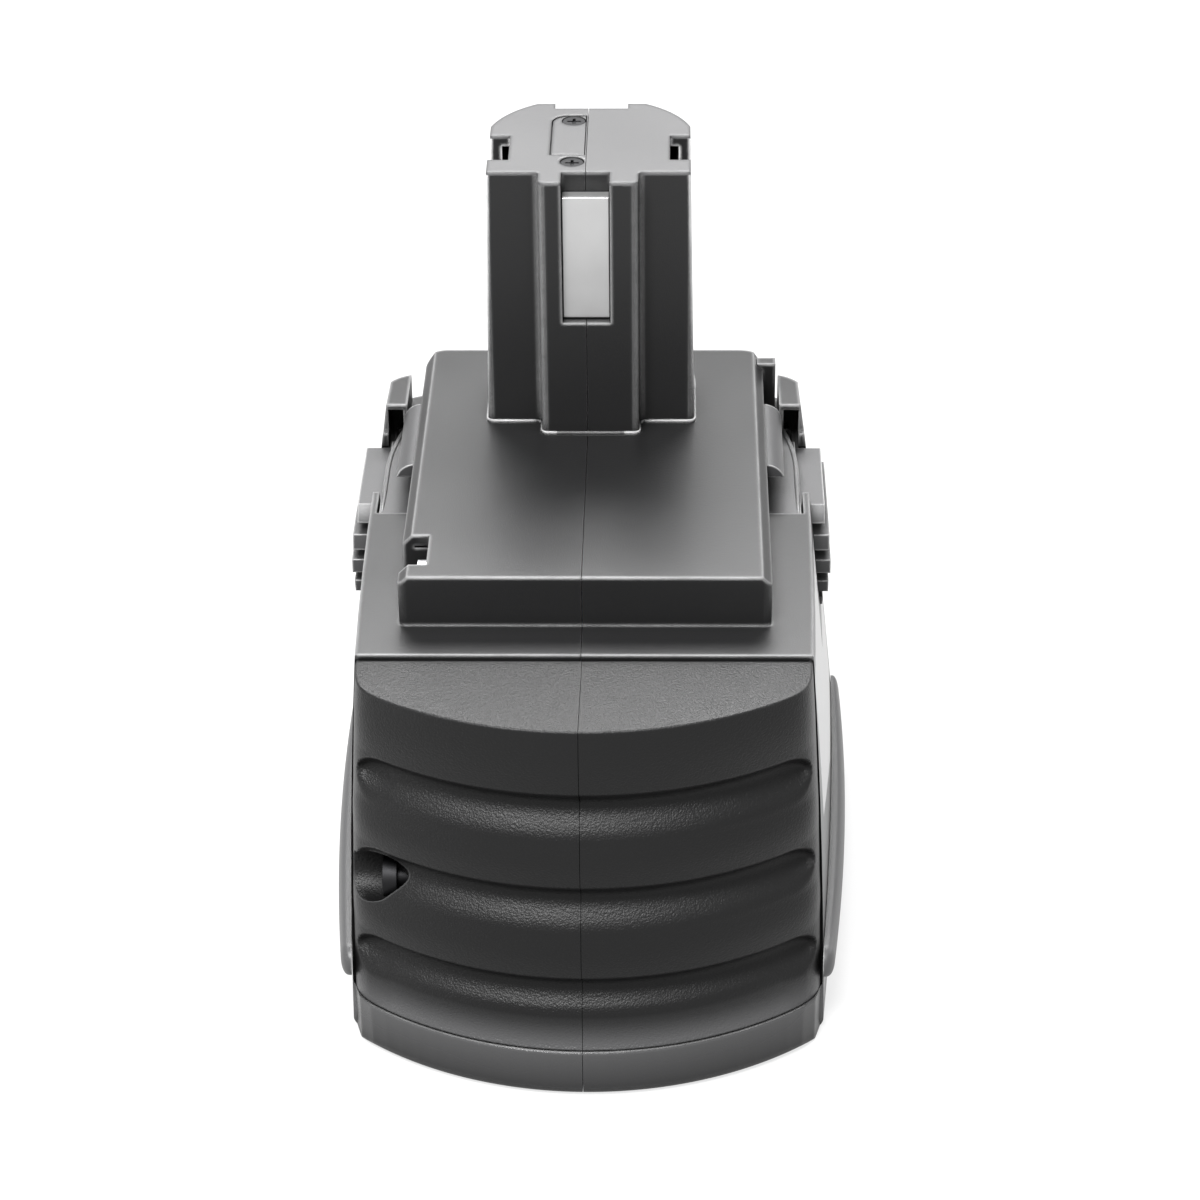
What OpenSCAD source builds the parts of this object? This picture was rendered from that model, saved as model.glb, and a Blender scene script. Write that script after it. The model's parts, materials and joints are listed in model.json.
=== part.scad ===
// Stem-type rechargeable battery pack for a hand-held power tool.
// Two moulded half cases, split fore and aft, hold fifteen cells. The stem on top goes into
// the tool's handle, and two sprung side latches hold it there.
// Frame: +X right, +Y to the rear, +Z up, origin on the floor under the middle of the pack.
// The ribbed grip faces -Y.

/* [Case] */
// Length from the front of the grip to the back of the stem
pack_len = 116; // [114:1:124]
// Height of the shoulder, the flat top of the body
shoulder_h = 74.4; // [74:0.2:80]
// Half the width of the body at its shoulder, where it is widest
side_half = 38.8; // [38.4:0.2:41]
// How far each side leans out below the shoulder, down to the bumpers
side_flare = 7; // [6:0.5:8]
// How far the widest place of a side moves to the rear on the same way down
side_sweep = 62; // [58:1:66]
// Radius that bows each side, seen from above
side_bow_r = 1400; // [1200:50:2000]
// Radius of the bowed front, seen from above
front_r = 60.2; // [59:0.5:64]
// Radius of the rear corners
rear_corner_r = 10; // [8:0.5:11]
// Radius of the edge around the floor
floor_edge_r = 2; // [1.5:0.5:4]
// Wall of the case
wall = 2.4; // [2:0.1:2.6]
// Where the seam lies, measured from the middle
seam_x = -0.5; // [-1:0.1:0]
// Gap between the two half cases along the seam
seam_gap = 0.1; // [0.04:0.02:0.2]

/* [Grip] */
// Height of the smooth band below the grip
band_h = 9.4; // [7:0.2:10]
// Depth of the step from the shoulder down to the nose
nose_step = 0.8; // [0.4:0.1:1.2]
// Length of the shoulder in front of the platform
shoulder_front = 9.9; // [8:0.1:12]
// Thickness of the moulded grip over its pads
grip_t = 4.4; // [4:0.1:5]
// Depth of the finger grooves
groove_d = 3; // [2:0.1:3.2]
// Height of each finger groove
groove_h = 8; // [7:0.1:9]
// Height of the top of the highest groove
groove_top = 60.5; // [58:0.5:62]
// Distance from one groove to the next
groove_pitch = 18.4; // [17:0.1:19]
// How far the pads bulge between the grooves
pad_crown = 0.5; // [0.2:0.1:1]

/* [Platform] */
// Width of the raised platform
platform_w = 62.2; // [62:0.1:63]
// Height of the platform over the shoulder
platform_h = 9.3; // [9:0.1:11]
// Wall of the platform and of its top
platform_wall = 2; // [1.8:0.1:2.2]
// Depth of the platform, front to back
platform_len = 83; // [83:0.5:86]
// Size of the bevel along its sides
bevel = 1.6; // [1:0.1:1.8]

/* [Stem] */
// Height of the stem over the platform
stem_h = 48.6; // [48.4:0.2:56]
// Half the width of the stem at its foot
stem_half = 18.4; // [18:0.1:19]
// How much narrower each side is at the top
stem_taper = 0.8; // [0.4:0.1:1]
// Half the width of the lobe down the front
lobe_half = 8.6; // [8:0.1:9]
// How far the lobe stands in front of the rest
lobe_d = 4.5; // [4.2:0.1:5]
// Depth of the stem, front of the lobe to the flat back
stem_d = 34.3; // [34:0.1:35]
// Wall of the stem
stem_wall = 2; // [1.8:0.1:2.2]
// Width of the slot in the lobe
slot_w = 8.4; // [8:0.1:9]
// Height of the slot
slot_h = 26.6; // [24:0.2:28]
// Length of the notches in the sides of the stem
notch_len = 10.4; // [9:0.1:11]
// Depth of those notches, measured in from the side
notch_d = 4; // [3.6:0.1:4.2]

/* [Latches] */
// How far each latch goes in when it is pressed
latch_travel = 3.2; // [2.6:0.1:3.3]
// Running gap around the latches
latch_gap = 0.4; // [0.3:0.05:0.6]
// Length of the hook along the platform
hook_len = 23; // [20:0.5:24]
// How far the hook stands out of the platform
hook_out = 3.3; // [2.8:0.1:3.6]
// Height of the finger button
button_h = 20.7; // [18:0.1:21]
// Radius of the button's rounded front and back
button_r = 14.75; // [14.2:0.05:15]
// Number of ribs on the button
rib_count = 5; // [4:1:6]
// Thickness of a rib
rib_t = 2.7; // [2.2:0.1:2.9]
// How far the middle rib stands out, measured from the middle of the pack
rib_out = 42.8; // [42:0.1:43.4]
// Radius of the guide peg behind the button
peg_r = 2.2; // [2:0.1:2.5]
// Radial clearance of the peg in its hole
peg_gap = 0.08; // [0.03:0.01:0.1]
// Wire of the latch spring
spring_wire = 0.8; // [0.6:0.1:0.9]
// Number of turns in the latch spring
spring_turns = 5; // [4:1:6]

/* [Cells] */
// Diameter of a cell
cell_d = 22.3; // [22:0.1:22.4]
// Length of a cell with its cap
cell_len = 42.5; // [41:0.1:42.8]
// Height of the cap
cap_h = 1; // [0.6:0.1:1.4]
// Diameter of the cap
cap_d = 9; // [7:0.5:11]
// Gap between neighbouring cells
cell_gap = 0.2; // [0.1:0.05:0.25]
// Thickness of the connecting straps
strap_t = 0.3; // [0.15:0.05:0.4]
// Width of the connecting straps
strap_w = 8; // [6:0.5:10]
// Thickness of the foam under the cells
pad_t = 1.6; // [1:0.1:2]
// Thickness of the card over the cells
card_t = 0.5; // [0.3:0.1:0.8]

/* [Fasteners] */
// Radius of the case screws
screw_r = 1.75; // [1.4:0.05:2]
// Radius of their heads
head_r = 3.4; // [3:0.1:3.6]
// Height of their heads
head_h = 2.4; // [2:0.1:2.6]
// Radius of the sunk hole that the front screw goes in by
sink_r = 4.3; // [4.2:0.1:4.6]
// Radius of the screw bosses
boss_r = 3.4; // [3:0.1:3.6]

/* [Side trim] */
// How far the bumpers stand out of the sides
bumper_out = 1.8; // [1.4:0.1:2.2]
// Height of the bumpers
bumper_h = 6; // [5:0.2:7]
// Height of the middle of the bumpers over the floor
bumper_z = 14.5; // [13.5:0.5:16]
// Thickness of the side labels
label_t = 0.3; // [0.2:0.05:0.4]

/* [Hidden] */

$fn = 96;
fit = 0.15;      // gap between two pieces that lie against each other
far = 200;       // longer than the pack in any direction
cut = 1;         // how far a cutter runs past the face that it cuts

front_y = -pack_len / 2;
back_y = pack_len / 2;
front_c = front_y + front_r;                  // middle of the front bow
platform_top = shoulder_h + platform_h;
stem_top = platform_top + stem_h;
platform_y1 = back_y - 1.25;
platform_y0 = platform_y1 - platform_len;
platform_half = platform_w / 2;
platform_in = platform_half - platform_wall;  // inner face of its side wall
groove_line_y = platform_y0 - shoulder_front; // where the grip meets the shoulder
nose_top = shoulder_h - nose_step;
stem_y0 = back_y - stem_d;                    // front of the lobe
stem_y1 = stem_y0 + lobe_d;                   // front of the side lobes
stem_in = stem_half - stem_taper - stem_wall;
stem_c = back_y - 15.65;                      // middle of the stem's round back
inner_top = shoulder_h - wall;
outer_fn = 360;

// The side of the body is part of a large cylinder whose axis leans out and to the rear
flare_h = 60.7;
lean = atan(side_sweep / flare_h);
side_r = side_bow_r * pow(cos(lean), 2);
side_y = 18.75;
function side_x(y, z) =
    let (t = (shoulder_h - z) / flare_h)
    side_half + side_flare * t - pow(y - side_y - side_sweep * t, 2) / (2 * side_bow_r);

module side_cylinder(s, grow) {
    run = norm([side_flare, side_sweep, flare_h]);
    tilt = acos(-flare_h / run);
    turn = atan2(side_sweep, side_flare);
    out = [1, 0, side_flare / flare_h];
    centre = [side_half, side_y, shoulder_h] - out / norm(out) * side_r;
    mirror([s < 0 ? 1 : 0, 0, 0])
        translate(centre)
            rotate([0, tilt, turn])
                cylinder(r = side_r + grow, h = 3 * far, center = true, $fn = 2 * outer_fn);
}

// Seen from above, the grip's corner blends the front bow into the side. a is the angle
// from straight ahead, r the radius of the bow and x the half width.
corner_power = 30;
grip_angle = atan(side_x(groove_line_y, nose_top) / (front_c - groove_line_y));
grip_steps = 14;
function blend_r(a, r, x) = a == 0 ? r
    : pow(pow(r, -corner_power) + pow(x / abs(sin(a)), -corner_power), -1 / corner_power);
function polar_xy(a, r) = [r * sin(a), front_c - r * cos(a)];
corner_x = side_x(groove_line_y - 4, nose_top);
band_x = side_x(groove_line_y - 4, band_h / 2);

// The front outline as points from the left corner to the right corner
function front_outline(x, inset) =
    [for (i = [-grip_steps:grip_steps])
        let (a = grip_angle * i / grip_steps) polar_xy(a, blend_r(a, front_r, x) - inset)];

// A block with the front outline, open-ended to the rear
module front_block(x, inset, z0, z1) {
    translate([0, 0, z0])
        linear_extrude(z1 - z0)
            polygon(concat(front_outline(x, inset), [[far, 0], [far, far], [-far, far], [-far, 0]]));
}

// The whole body up to the shoulder, without its grip recess, made smaller by inset
module body_form(inset) {
    r = max(floor_edge_r - inset, 0.8);
    side = side_x(back_y, 0) + 5;
    difference() {
        body_block(inset, r, side);
        rear_corners(inset);
        floor_edges(inset);
    }
}
module body_block(inset, r, side) {
    intersection() {
        union() {
            translate([0, front_c, 0])
                rotate_extrude($fn = outer_fn)
                    difference() {
                        translate([0, inset]) square([front_r - inset, shoulder_h - 2 * inset]);
                        translate([front_r - inset - r, inset])
                            difference() {
                                translate([0, -cut]) square([r + cut, r + cut]);
                                translate([0, r]) circle(r);
                            }
                    }
            translate([-side, front_c, inset])
                cube([2 * side, platform_y1 - inset - front_c, shoulder_h - 2 * inset]);
        }
        side_cylinder(1, -inset);
        side_cylinder(-1, -inset);
        front_block(band_x, inset, -cut, far);
        translate([-far, -far, -cut]) cube([2 * far, far + platform_y1 - inset, far]);
    }
}

// Square with a quarter circle out of it, which rounds an edge when it is cut away
module corner_profile(r, over) {
    difference() {
        square([r + over, r + over]);
        circle(r);
    }
}
// Rounds the rear corners, each of which leans out with its side. The small shift lets the
// round cross the side and the back at a slight angle.
corner_shift = [0.3, 0.06];
module rear_corners(inset) {
    r = rear_corner_r - inset;
    y = platform_y1 - inset - r;
    x0 = side_x(y, shoulder_h);
    x1 = side_x(y, 2 * floor_edge_r);
    tilt = atan((x1 - x0) / (shoulder_h - 2 * floor_edge_r));
    for (s = [0, 1])
        mirror([s, 0, 0])
            translate([x0 - inset - r + corner_shift[0], y + corner_shift[1], shoulder_h])
                rotate([0, -tilt, 0])
                    linear_extrude(far, center = true) corner_profile(r, 4);
}
// Rounds the edges along the floor, each of which bows with its side
module floor_edges(inset) {
    r = max(floor_edge_r - inset, 0.8);
    t = (shoulder_h - floor_edge_r) / flare_h;
    x = side_half + side_flare * t - inset;
    y = side_y + side_sweep * t;
    for (s = [0, 1])
        mirror([s, 0, 0])
            translate([x - side_bow_r, y, inset + r])
                rotate_extrude($fn = 2 * outer_fn)
                    translate([side_bow_r - r, 0]) mirror([0, 1]) corner_profile(r, 3);
}

// The space that the grip fills in front of the half cases
module grip_recess() {
    difference() {
        translate([0, 0, band_h])
            linear_extrude(nose_top - band_h + cut)
                recess_wedge();
        front_block(corner_x, grip_t + fit, 0, nose_top - lens_t - fit);
        intersection() {
            translate([-far, groove_line_y + line_gap, 0]) cube([2 * far, far, far]);
            front_block(corner_x, lens_lip + fit, 0, far);
        }
    }
    difference() {
        translate([0, 0, band_h])
            linear_extrude(nose_top - lens_t + fit - band_h)
                recess_wedge();
        front_block(corner_x, grip_t + fit, 0, far);
    }
}
recess_angle = grip_angle + 0.2; // a little more than the grip, for a gap at its ends
module recess_wedge() {
    polygon([[0, front_c], polar_xy(-recess_angle, far), [0, -far], polar_xy(recess_angle, far)]);
}
lens_t = 2;       // thickness of the grip's flat top
line_gap = 0.5;   // gap between the grip and the shoulder
lens_lip = 0.3;   // least width of that top, at its corners
recess_wall = 1.4; // wall of the case behind the grip

module rounded_box(half, y0, y1, z0, z1, r_front, r_rear) {
    translate([0, 0, z0])
        linear_extrude(z1 - z0) {
            translate([-half, y0 + r_front]) square([2 * half, y1 - y0 - r_front - r_rear]);
            for (e = [[y0 + r_front, r_front, -1], [y1 - r_rear, r_rear, 1]]) {
                translate([e[1] - half, e[2] < 0 ? y0 : y1 - e[1]])
                    square([2 * (half - e[1]), e[1]]);
                for (s = [-1, 1])
                    translate([s * (half - e[1]), e[0]]) circle(e[1]);
            }
        }
}

platform_front_r = 1.2;
platform_rear_r = 4;
module platform_outer() {
    intersection() {
        rounded_box(platform_half, platform_y0, platform_y1, shoulder_h - wall, platform_top,
            platform_front_r, platform_rear_r);
        rotate([90, 0, 0])
            linear_extrude(2 * far, center = true)
                polygon([[-platform_half, 0], [platform_half, 0],
                    [platform_half, platform_top - bevel], [platform_half - bevel, platform_top],
                    [bevel - platform_half, platform_top], [-platform_half, platform_top - bevel]]);
    }
}
module platform_inner() {
    rounded_box(platform_in, platform_y0 + platform_wall, platform_y1 - wall,
        inner_top - cut, platform_top - platform_wall,
        0.4, platform_rear_r - platform_wall);
}

// The upright edges of the stem are rounded, and so are the corners beside its lobe
stem_edge_r = 1;
stem_fillet_r = 0.9;
module round_front(half, y0, y1) {
    translate([-half, y0 + stem_edge_r]) square([2 * half, y1 - y0 - stem_edge_r]);
    translate([stem_edge_r - half, y0]) square([2 * (half - stem_edge_r), stem_edge_r + cut]);
    for (s = [-1, 1])
        translate([s * (half - stem_edge_r), y0 + stem_edge_r]) circle(stem_edge_r);
}
module lobe_fillet() {
    translate([lobe_half, stem_y1 - stem_fillet_r])
        difference() {
            translate([-cut, 0]) square([stem_fillet_r + cut, stem_fillet_r + cut]);
            translate([stem_fillet_r, 0]) circle(stem_fillet_r);
        }
}
module stem_plan() {
    round_front(stem_half, stem_y1, stem_c);
    round_front(lobe_half, stem_y0, stem_y1 + cut);
    lobe_fillet();
    mirror([1, 0]) lobe_fillet();
    intersection() {
        translate([0, stem_c]) circle(stem_half, $fn = outer_fn);
        translate([-far, stem_c - cut]) square([2 * far, back_y - stem_c + cut]);
    }
}
notch_back_half = 6.5;
notch_back_d = 2.1;
module stem_outer() {
    intersection() {
        difference() {
            translate([0, 0, platform_top - platform_wall])
                linear_extrude(stem_h + platform_wall) stem_plan();
            translate([-notch_back_half, back_y - notch_back_d, platform_top])
                cube([2 * notch_back_half, far, far]);
        }
        rotate([90, 0, 0])
            linear_extrude(2 * far, center = true)
                polygon([[-stem_half, 0], [stem_half, 0], [stem_half, platform_top],
                    [stem_half - stem_taper, stem_top], [stem_taper - stem_half, stem_top],
                    [-stem_half, platform_top]]);
    }
}
stem_roof = stem_top - stem_wall;
module stem_inner() {
    translate([0, 0, platform_top - platform_wall - cut])
        linear_extrude(stem_roof - platform_top + platform_wall + cut) {
            translate([-stem_in, stem_y1 + stem_wall])
                square([2 * stem_in, stem_c - stem_y1 - stem_wall]);
            intersection() {
                translate([0, stem_c]) circle(stem_in, $fn = outer_fn);
                translate([-far, stem_c - cut])
                    square([2 * far, back_y - notch_back_d - stem_wall - stem_c + cut]);
            }
        }
}

// Contact slot down the lobe, open at the top, and the notches in the sides of the stem
slot_x = -0.5;
slot_z = stem_top - slot_h;
notch_y = stem_y1 + 5.2;
notch_x = stem_half - notch_d - 0.4;
port_h = 2.2;          // height of the ways that the contacts go in by
port_z = stem_roof - 4.2;
module contact_slots() {
    translate([slot_x - slot_w / 2, stem_y0 - cut, slot_z])
        cube([slot_w, lobe_d + cut, far]);
    translate([slot_x - 2.5, stem_y0, port_z]) cube([5, 2 * lobe_d, port_h]);
    for (s = [-1, 1]) {
        translate([s > 0 ? notch_x : -notch_x - far, notch_y, slot_z])
            cube([far, notch_len, far]);
        translate([s * notch_x - 3, notch_y + 3, port_z]) cube([6, notch_len - 6, port_h]);
    }
}

// Ears behind the latches, hollow under their roofs
ear_x = 34;
ear_y0 = 42.45;
ear_y1 = 54.75;
ear_top = platform_top - 4;
ear_roof = 1;
module ears() {
    intersection() {
        for (s = [-1, 1])
            translate([s > 0 ? ear_x : -ear_x - 10, ear_y0, shoulder_h - wall])
                cube([10, ear_y1 - ear_y0, ear_top - shoulder_h + wall]);
        side_cylinder(1, 0);
        side_cylinder(-1, 0);
        rounded_box(side_half, platform_y0, ear_y1, 0, far, 1, 7);
    }
}
// Post beside the rear of the platform, on the right only
post_w = 2.4;
module post() {
    translate([platform_half - cut, ear_y1 - 3.2, shoulder_h - wall])
        cube([post_w + cut, 2.6, platform_top - shoulder_h + wall - 0.3]);
}

// Latch places. The right latch is drawn; the left one is its mirror image.
deck_x1 = 37.2;
deck_t = 2.8;
deck_top = shoulder_h - latch_gap;
deck_y0 = 12.15;
deck_y1 = 49.5;
deck_r = 60;
deck_bend_y = 28;
button_y = 30.25;
button_top = deck_top - 2.3;
button_z = button_top - button_h / 2;
button_back = 35.9;
rib_bow = 0.28;       // how much shorter the ribs next to the middle one are
neck_half = 10.5;     // half the width of the part that joins the button to the deck
box_wall = 1.6;
upright_x1 = platform_in - 0.5;
upright_x0 = upright_x1 - 3.2;
hook_y0 = button_y - 0.5 * hook_len - 2;
hook_x = platform_half + hook_out;
hook_z0 = platform_top - platform_wall - 2.8;
hook_z1 = platform_top - platform_wall - latch_gap;
seat_x0 = 23;        // wall that the spring rests on
seat_x1 = 25;
seat_top = deck_top - deck_t - latch_gap;
peg_end = seat_x0 - 1.2;
box_y0 = deck_y0 - latch_gap - box_wall;
box_y1 = deck_y1 + latch_gap;
box_z0 = 50;

module button_plan(grow) {
    intersection() {
        circle(button_r + grow);
        square([2 * button_r + 4, button_h + 2 * grow], center = true);
    }
}
// A flat shape given in Y and Z, made solid from x0 to x1
module along_x(x0, x1) {
    translate([x0, 0, 0]) rotate([90, 0, 90]) linear_extrude(x1 - x0) children();
}
module latch() {
    translate([0, 0, deck_top - deck_t])
        linear_extrude(deck_t)
            intersection() {
                translate([upright_x0, deck_y0])
                    square([deck_x1 - upright_x0, deck_y1 - deck_y0]);
                union() {
                    translate([deck_x1 - deck_r, deck_bend_y]) circle(deck_r, $fn = outer_fn);
                    square([deck_x1, deck_bend_y]);
                }
            }
    along_x(button_back, side_half + 0.6)
        translate([button_y, button_z]) button_plan(0);
    for (i = [0:rib_count - 1]) {
        step = (button_h - rib_t) / (rib_count - 1);
        off = i - (rib_count - 1) / 2;
        along_x(button_back, rib_out - rib_bow * off * off)
            intersection() {
                translate([button_y, button_z]) button_plan(0);
                translate([0, button_z + off * step - rib_t / 2]) square([far, rib_t]);
            }
    }
    translate([button_back, button_y - neck_half, button_top - cut])
        cube([deck_x1 - 0.3 - button_back, 2 * neck_half, deck_top - button_top]);
    translate([upright_x0, hook_y0, deck_top - deck_t])
        cube([upright_x1 - upright_x0, hook_len, hook_z1 - deck_top + deck_t]);
    hook();
    translate([peg_end, button_y, button_z])
        rotate([0, 90, 0]) cylinder(r = peg_r, h = button_back + cut - peg_end);
}
// The hook rounds down from the platform to a flat underside
module hook() {
    r = hook_x - platform_half;
    translate([0, hook_y0 + hook_len, 0])
        rotate([90, 0, 0])
            linear_extrude(hook_len)
                intersection() {
                    union() {
                        translate([platform_half, hook_z1 - r]) circle(r);
                        translate([upright_x0 + cut, hook_z0])
                            square([platform_half - upright_x0 - cut, hook_z1 - hook_z0]);
                    }
                    translate([0, hook_z0]) square([hook_x, hook_z1 - hook_z0]);
                }
}

// What the right latch needs cut out of the case
module latch_cuts() {
    g = latch_gap;
    translate([seat_x0 - latch_travel, deck_y0 - g, deck_top - deck_t - g])
        cube([deck_x1 + g - seat_x0 + latch_travel, deck_y1 - deck_y0 + 2 * g, deck_t + 2 * g]);
    translate([ear_x + 0.8, ear_y0 - cut, shoulder_h - cut])
        cube([deck_x1 + g - ear_x - 0.8, deck_y1 + g - ear_y0 + cut,
            ear_top - ear_roof - shoulder_h + cut]);
    along_x(side_half - 5, far) {
        translate([button_y, button_z]) button_plan(g);
        translate([button_y - neck_half - g, button_z]) square([2 * (neck_half + g), far]);
    }
    translate([upright_x0, hook_y0 - g, hook_z0 - g])
        cube([far, hook_len + 2 * g, hook_z1 + g - hook_z0 + g]);
}
// The walls that carry the spring and guide the latch, part of the half case
module latch_box() {
    difference() {
        union() {
            translate([seat_x0, box_y0, box_z0])
                cube([seat_x1 - seat_x0, box_y1 - box_y0 + box_wall, seat_top - box_z0]);
            for (y = [box_y0, box_y1])
                translate([seat_x0, y, box_z0]) cube([20, box_wall, seat_top - box_z0]);
        }
        translate([seat_x0 - cut, button_y, button_z])
            rotate([0, 90, 0]) cylinder(r = peg_r + peg_gap, h = 10);
    }
}

// Screw places as [y, z, x of the floor of the sunk hole, radius of that hole]
front_screw = [-43.2, 35.3, -31.6, sink_r];
rear_screw = [50.7, 62, -30, head_r + 0.5];
platform_screw_at = [-17.2, 78.9, -26.4, head_r - 0.6];
screw_reach = 12;
platform_boss_r = 2.6;
small_screw_r = 1.25;  // of the screw in the platform's pocket

module x_cylinder(at, r, x0, x1) {
    translate([x0, at[0], at[1]]) rotate([0, 90, 0]) cylinder(r = r, h = x1 - x0);
}
module screw_bosses() {
    for (at = [front_screw, rear_screw]) {
        x_cylinder(at, boss_r, at[2], screw_reach + 2);
        x_cylinder(at, at[3] + 1.1, -side_half - 5, at[2] + 1.6);
    }
    x_cylinder(platform_screw_at, platform_boss_r, platform_screw_at[2] - cut, screw_reach + 2);
    boss_rib(front_screw, [front_y, front_screw[0]], [front_screw[1] - 1.2, front_screw[1] + 1.2]);
    boss_rib(rear_screw, [rear_screw[0], back_y], [rear_screw[1] - 1.2, rear_screw[1] + 1.2]);
    boss_rib(platform_screw_at, [platform_screw_at[0] - 1.2, platform_screw_at[0] + 1.2],
        [platform_screw_at[1], platform_top - platform_wall / 2]);
}
// A rib along a boss, from the boss to the wall beside it
module boss_rib(at, ys, zs) {
    translate([at[2] + 2, ys[0], zs[0]])
        cube([screw_reach - at[2], ys[1] - ys[0], zs[1] - zs[0]]);
}
module screw_holes() {
    for (at = [front_screw, rear_screw]) {
        x_cylinder(at, at[3], -far, at[2]);
        x_cylinder(at, screw_r + 0.2, at[2] - cut, seam_x);
        x_cylinder(at, screw_r + 0.05, seam_x - cut, screw_reach + 0.5);
    }
    x_cylinder(platform_screw_at, small_screw_r + 0.2, -far, seam_x);
    x_cylinder(platform_screw_at, small_screw_r + 0.05, seam_x - cut, screw_reach + 0.5);
}
pocket_x = -26.5;
pocket_y0 = -22.05;
pocket_len = 9.7;
module platform_pocket() {
    translate([-far, pocket_y0, shoulder_h + 1.6]) cube([far + pocket_x, pocket_len, far]);
}
module pocket_walls() {
    translate([-platform_half + 0.5, pocket_y0 - 1.4, shoulder_h - wall])
        cube([pocket_x + platform_half + 0.9, pocket_len + 2.8, platform_top - shoulder_h]);
}

// Cover on the stem's top, left of the seam, and the two screws beside it
cover_x0 = -6.9;
cover_y0 = 35.45;
cover_y1 = 52.75;
cover_t = 0.9;
cover_r = 3;
module cover_plan(inset) {
    difference() {
        translate([cover_x0 + inset, cover_y0 + inset])
            square([seam_x - 0.2 - cover_x0 - 2 * inset, cover_y1 - cover_y0 - 2 * inset]);
        translate([cover_x0, cover_y1 - cover_r])
            difference() {
                translate([-cut, 0]) square([cover_r + cut, cover_r + cut]);
                translate([cover_r, 0]) circle(cover_r - inset);
            }
    }
}
stem_screw_at = [[-3.0, 50.6], [-2.9, 32.6]];
stem_head_r = 2;
module stem_screw_holes() {
    for (p = stem_screw_at) {
        translate([p[0], p[1], stem_top - 1.2]) cylinder(r = stem_head_r + 0.15, h = 5);
        translate([p[0], p[1], stem_roof - cut]) cylinder(r = 1.05, h = 5);
    }
}

// Labels lie in shallow recesses in the sides, given as [y, z]
label_outline = [[-35, 69], [-26.3, 36], [13.75, 21.5], [45, 21.5], [45, 46], [13.2, 46], [13.2, 69]];
module label_zone(s, grow) {
    intersection() {
        along_x(s > 0 ? 30 : -60, s > 0 ? 60 : -30) polygon(label_outline);
        side_cylinder(s, grow);
    }
}

module case_solid() {
    difference() {
        union() {
            difference() {
                union() {
                    difference() {
                        body_form(0);
                        grip_recess();
                    }
                    platform_outer();
                    stem_outer();
                    ears();
                    post();
                }
                intersection() {
                    body_form(wall);
                    front_block(corner_x, grip_t + fit + recess_wall, 0, far);
                    union() {
                        translate([-far, groove_line_y + wall, 0]) cube([2 * far, far, far]);
                        translate([-far, -far, 0])
                            cube([2 * far, 2 * far, nose_top - lens_t - fit - recess_wall]);
                    }
                }
                platform_inner();
                stem_inner();
            }
            intersection() {
                union() {
                    screw_bosses();
                    pocket_walls();
                    latch_box();
                    mirror([1, 0, 0]) latch_box();
                }
                union() {
                    intersection() {
                        body_form(0.5);
                        front_block(corner_x, grip_t + fit + 0.5, 0, far);
                    }
                    platform_outer();
                }
            }
        }
        contact_slots();
        latch_cuts();
        mirror([1, 0, 0]) latch_cuts();
        screw_holes();
        platform_pocket();
        translate([0, 0, stem_top - cover_t - 0.1]) linear_extrude(5) cover_plan(0);
        stem_screw_holes();
        for (s = [-1, 1])
            difference() {
                label_zone(s, 1);
                side_cylinder(s, -label_t);
            }
    }
}
module half(s) {
    intersection() {
        case_solid();
        translate([s > 0 ? seam_x + seam_gap / 2 : seam_x - seam_gap / 2 - far, -far / 2, -cut])
            cube([far, far, far]);
    }
}
module left_shell() { color([0.14, 0.14, 0.15]) half(-1); }
module right_shell() { color([0.14, 0.14, 0.15]) half(1); }

// One finger groove, s running from 0 at its top to 1 at its bottom
function groove(s) = s <= 0 || s >= 1 ? 0 : groove_d * pow(sin(180 * pow(s, 0.6)), 2);
function groove_depth(z) =
    let (n = floor((groove_top - z) / groove_pitch), s = (groove_top - z) / groove_pitch - n)
    z > groove_top ? -pad_crown * sin(180 * (z - groove_top) / (nose_top - groove_top))
    : n > 2 ? 0
    : s < groove_h / groove_pitch ? groove(s * groove_pitch / groove_h)
    : -pad_crown * sin(180 * (s * groove_pitch - groove_h) / (groove_pitch - groove_h))
        * (n > 1 ? 0 : 1);
// Grooves fade out before the corner
fade_x0 = 33.2;
fade_x1 = 36.4;
function fade(x) =
    let (t = min(max((fade_x1 - abs(x)) / (fade_x1 - fade_x0), 0), 1)) t * t * (3 - 2 * t);
function grip_r(a, z) =
    blend_r(a, front_r - pad_crown - fade(front_r * sin(a)) * groove_depth(z),
        side_x(groove_line_y - 4, z));

grip_levels = 32;
grip_z0 = band_h + fit;
grip_start = asin((seam_x + seam_gap / 2) / front_r);
grip_start_left = asin((seam_gap / 2 - seam_x) / front_r);
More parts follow.
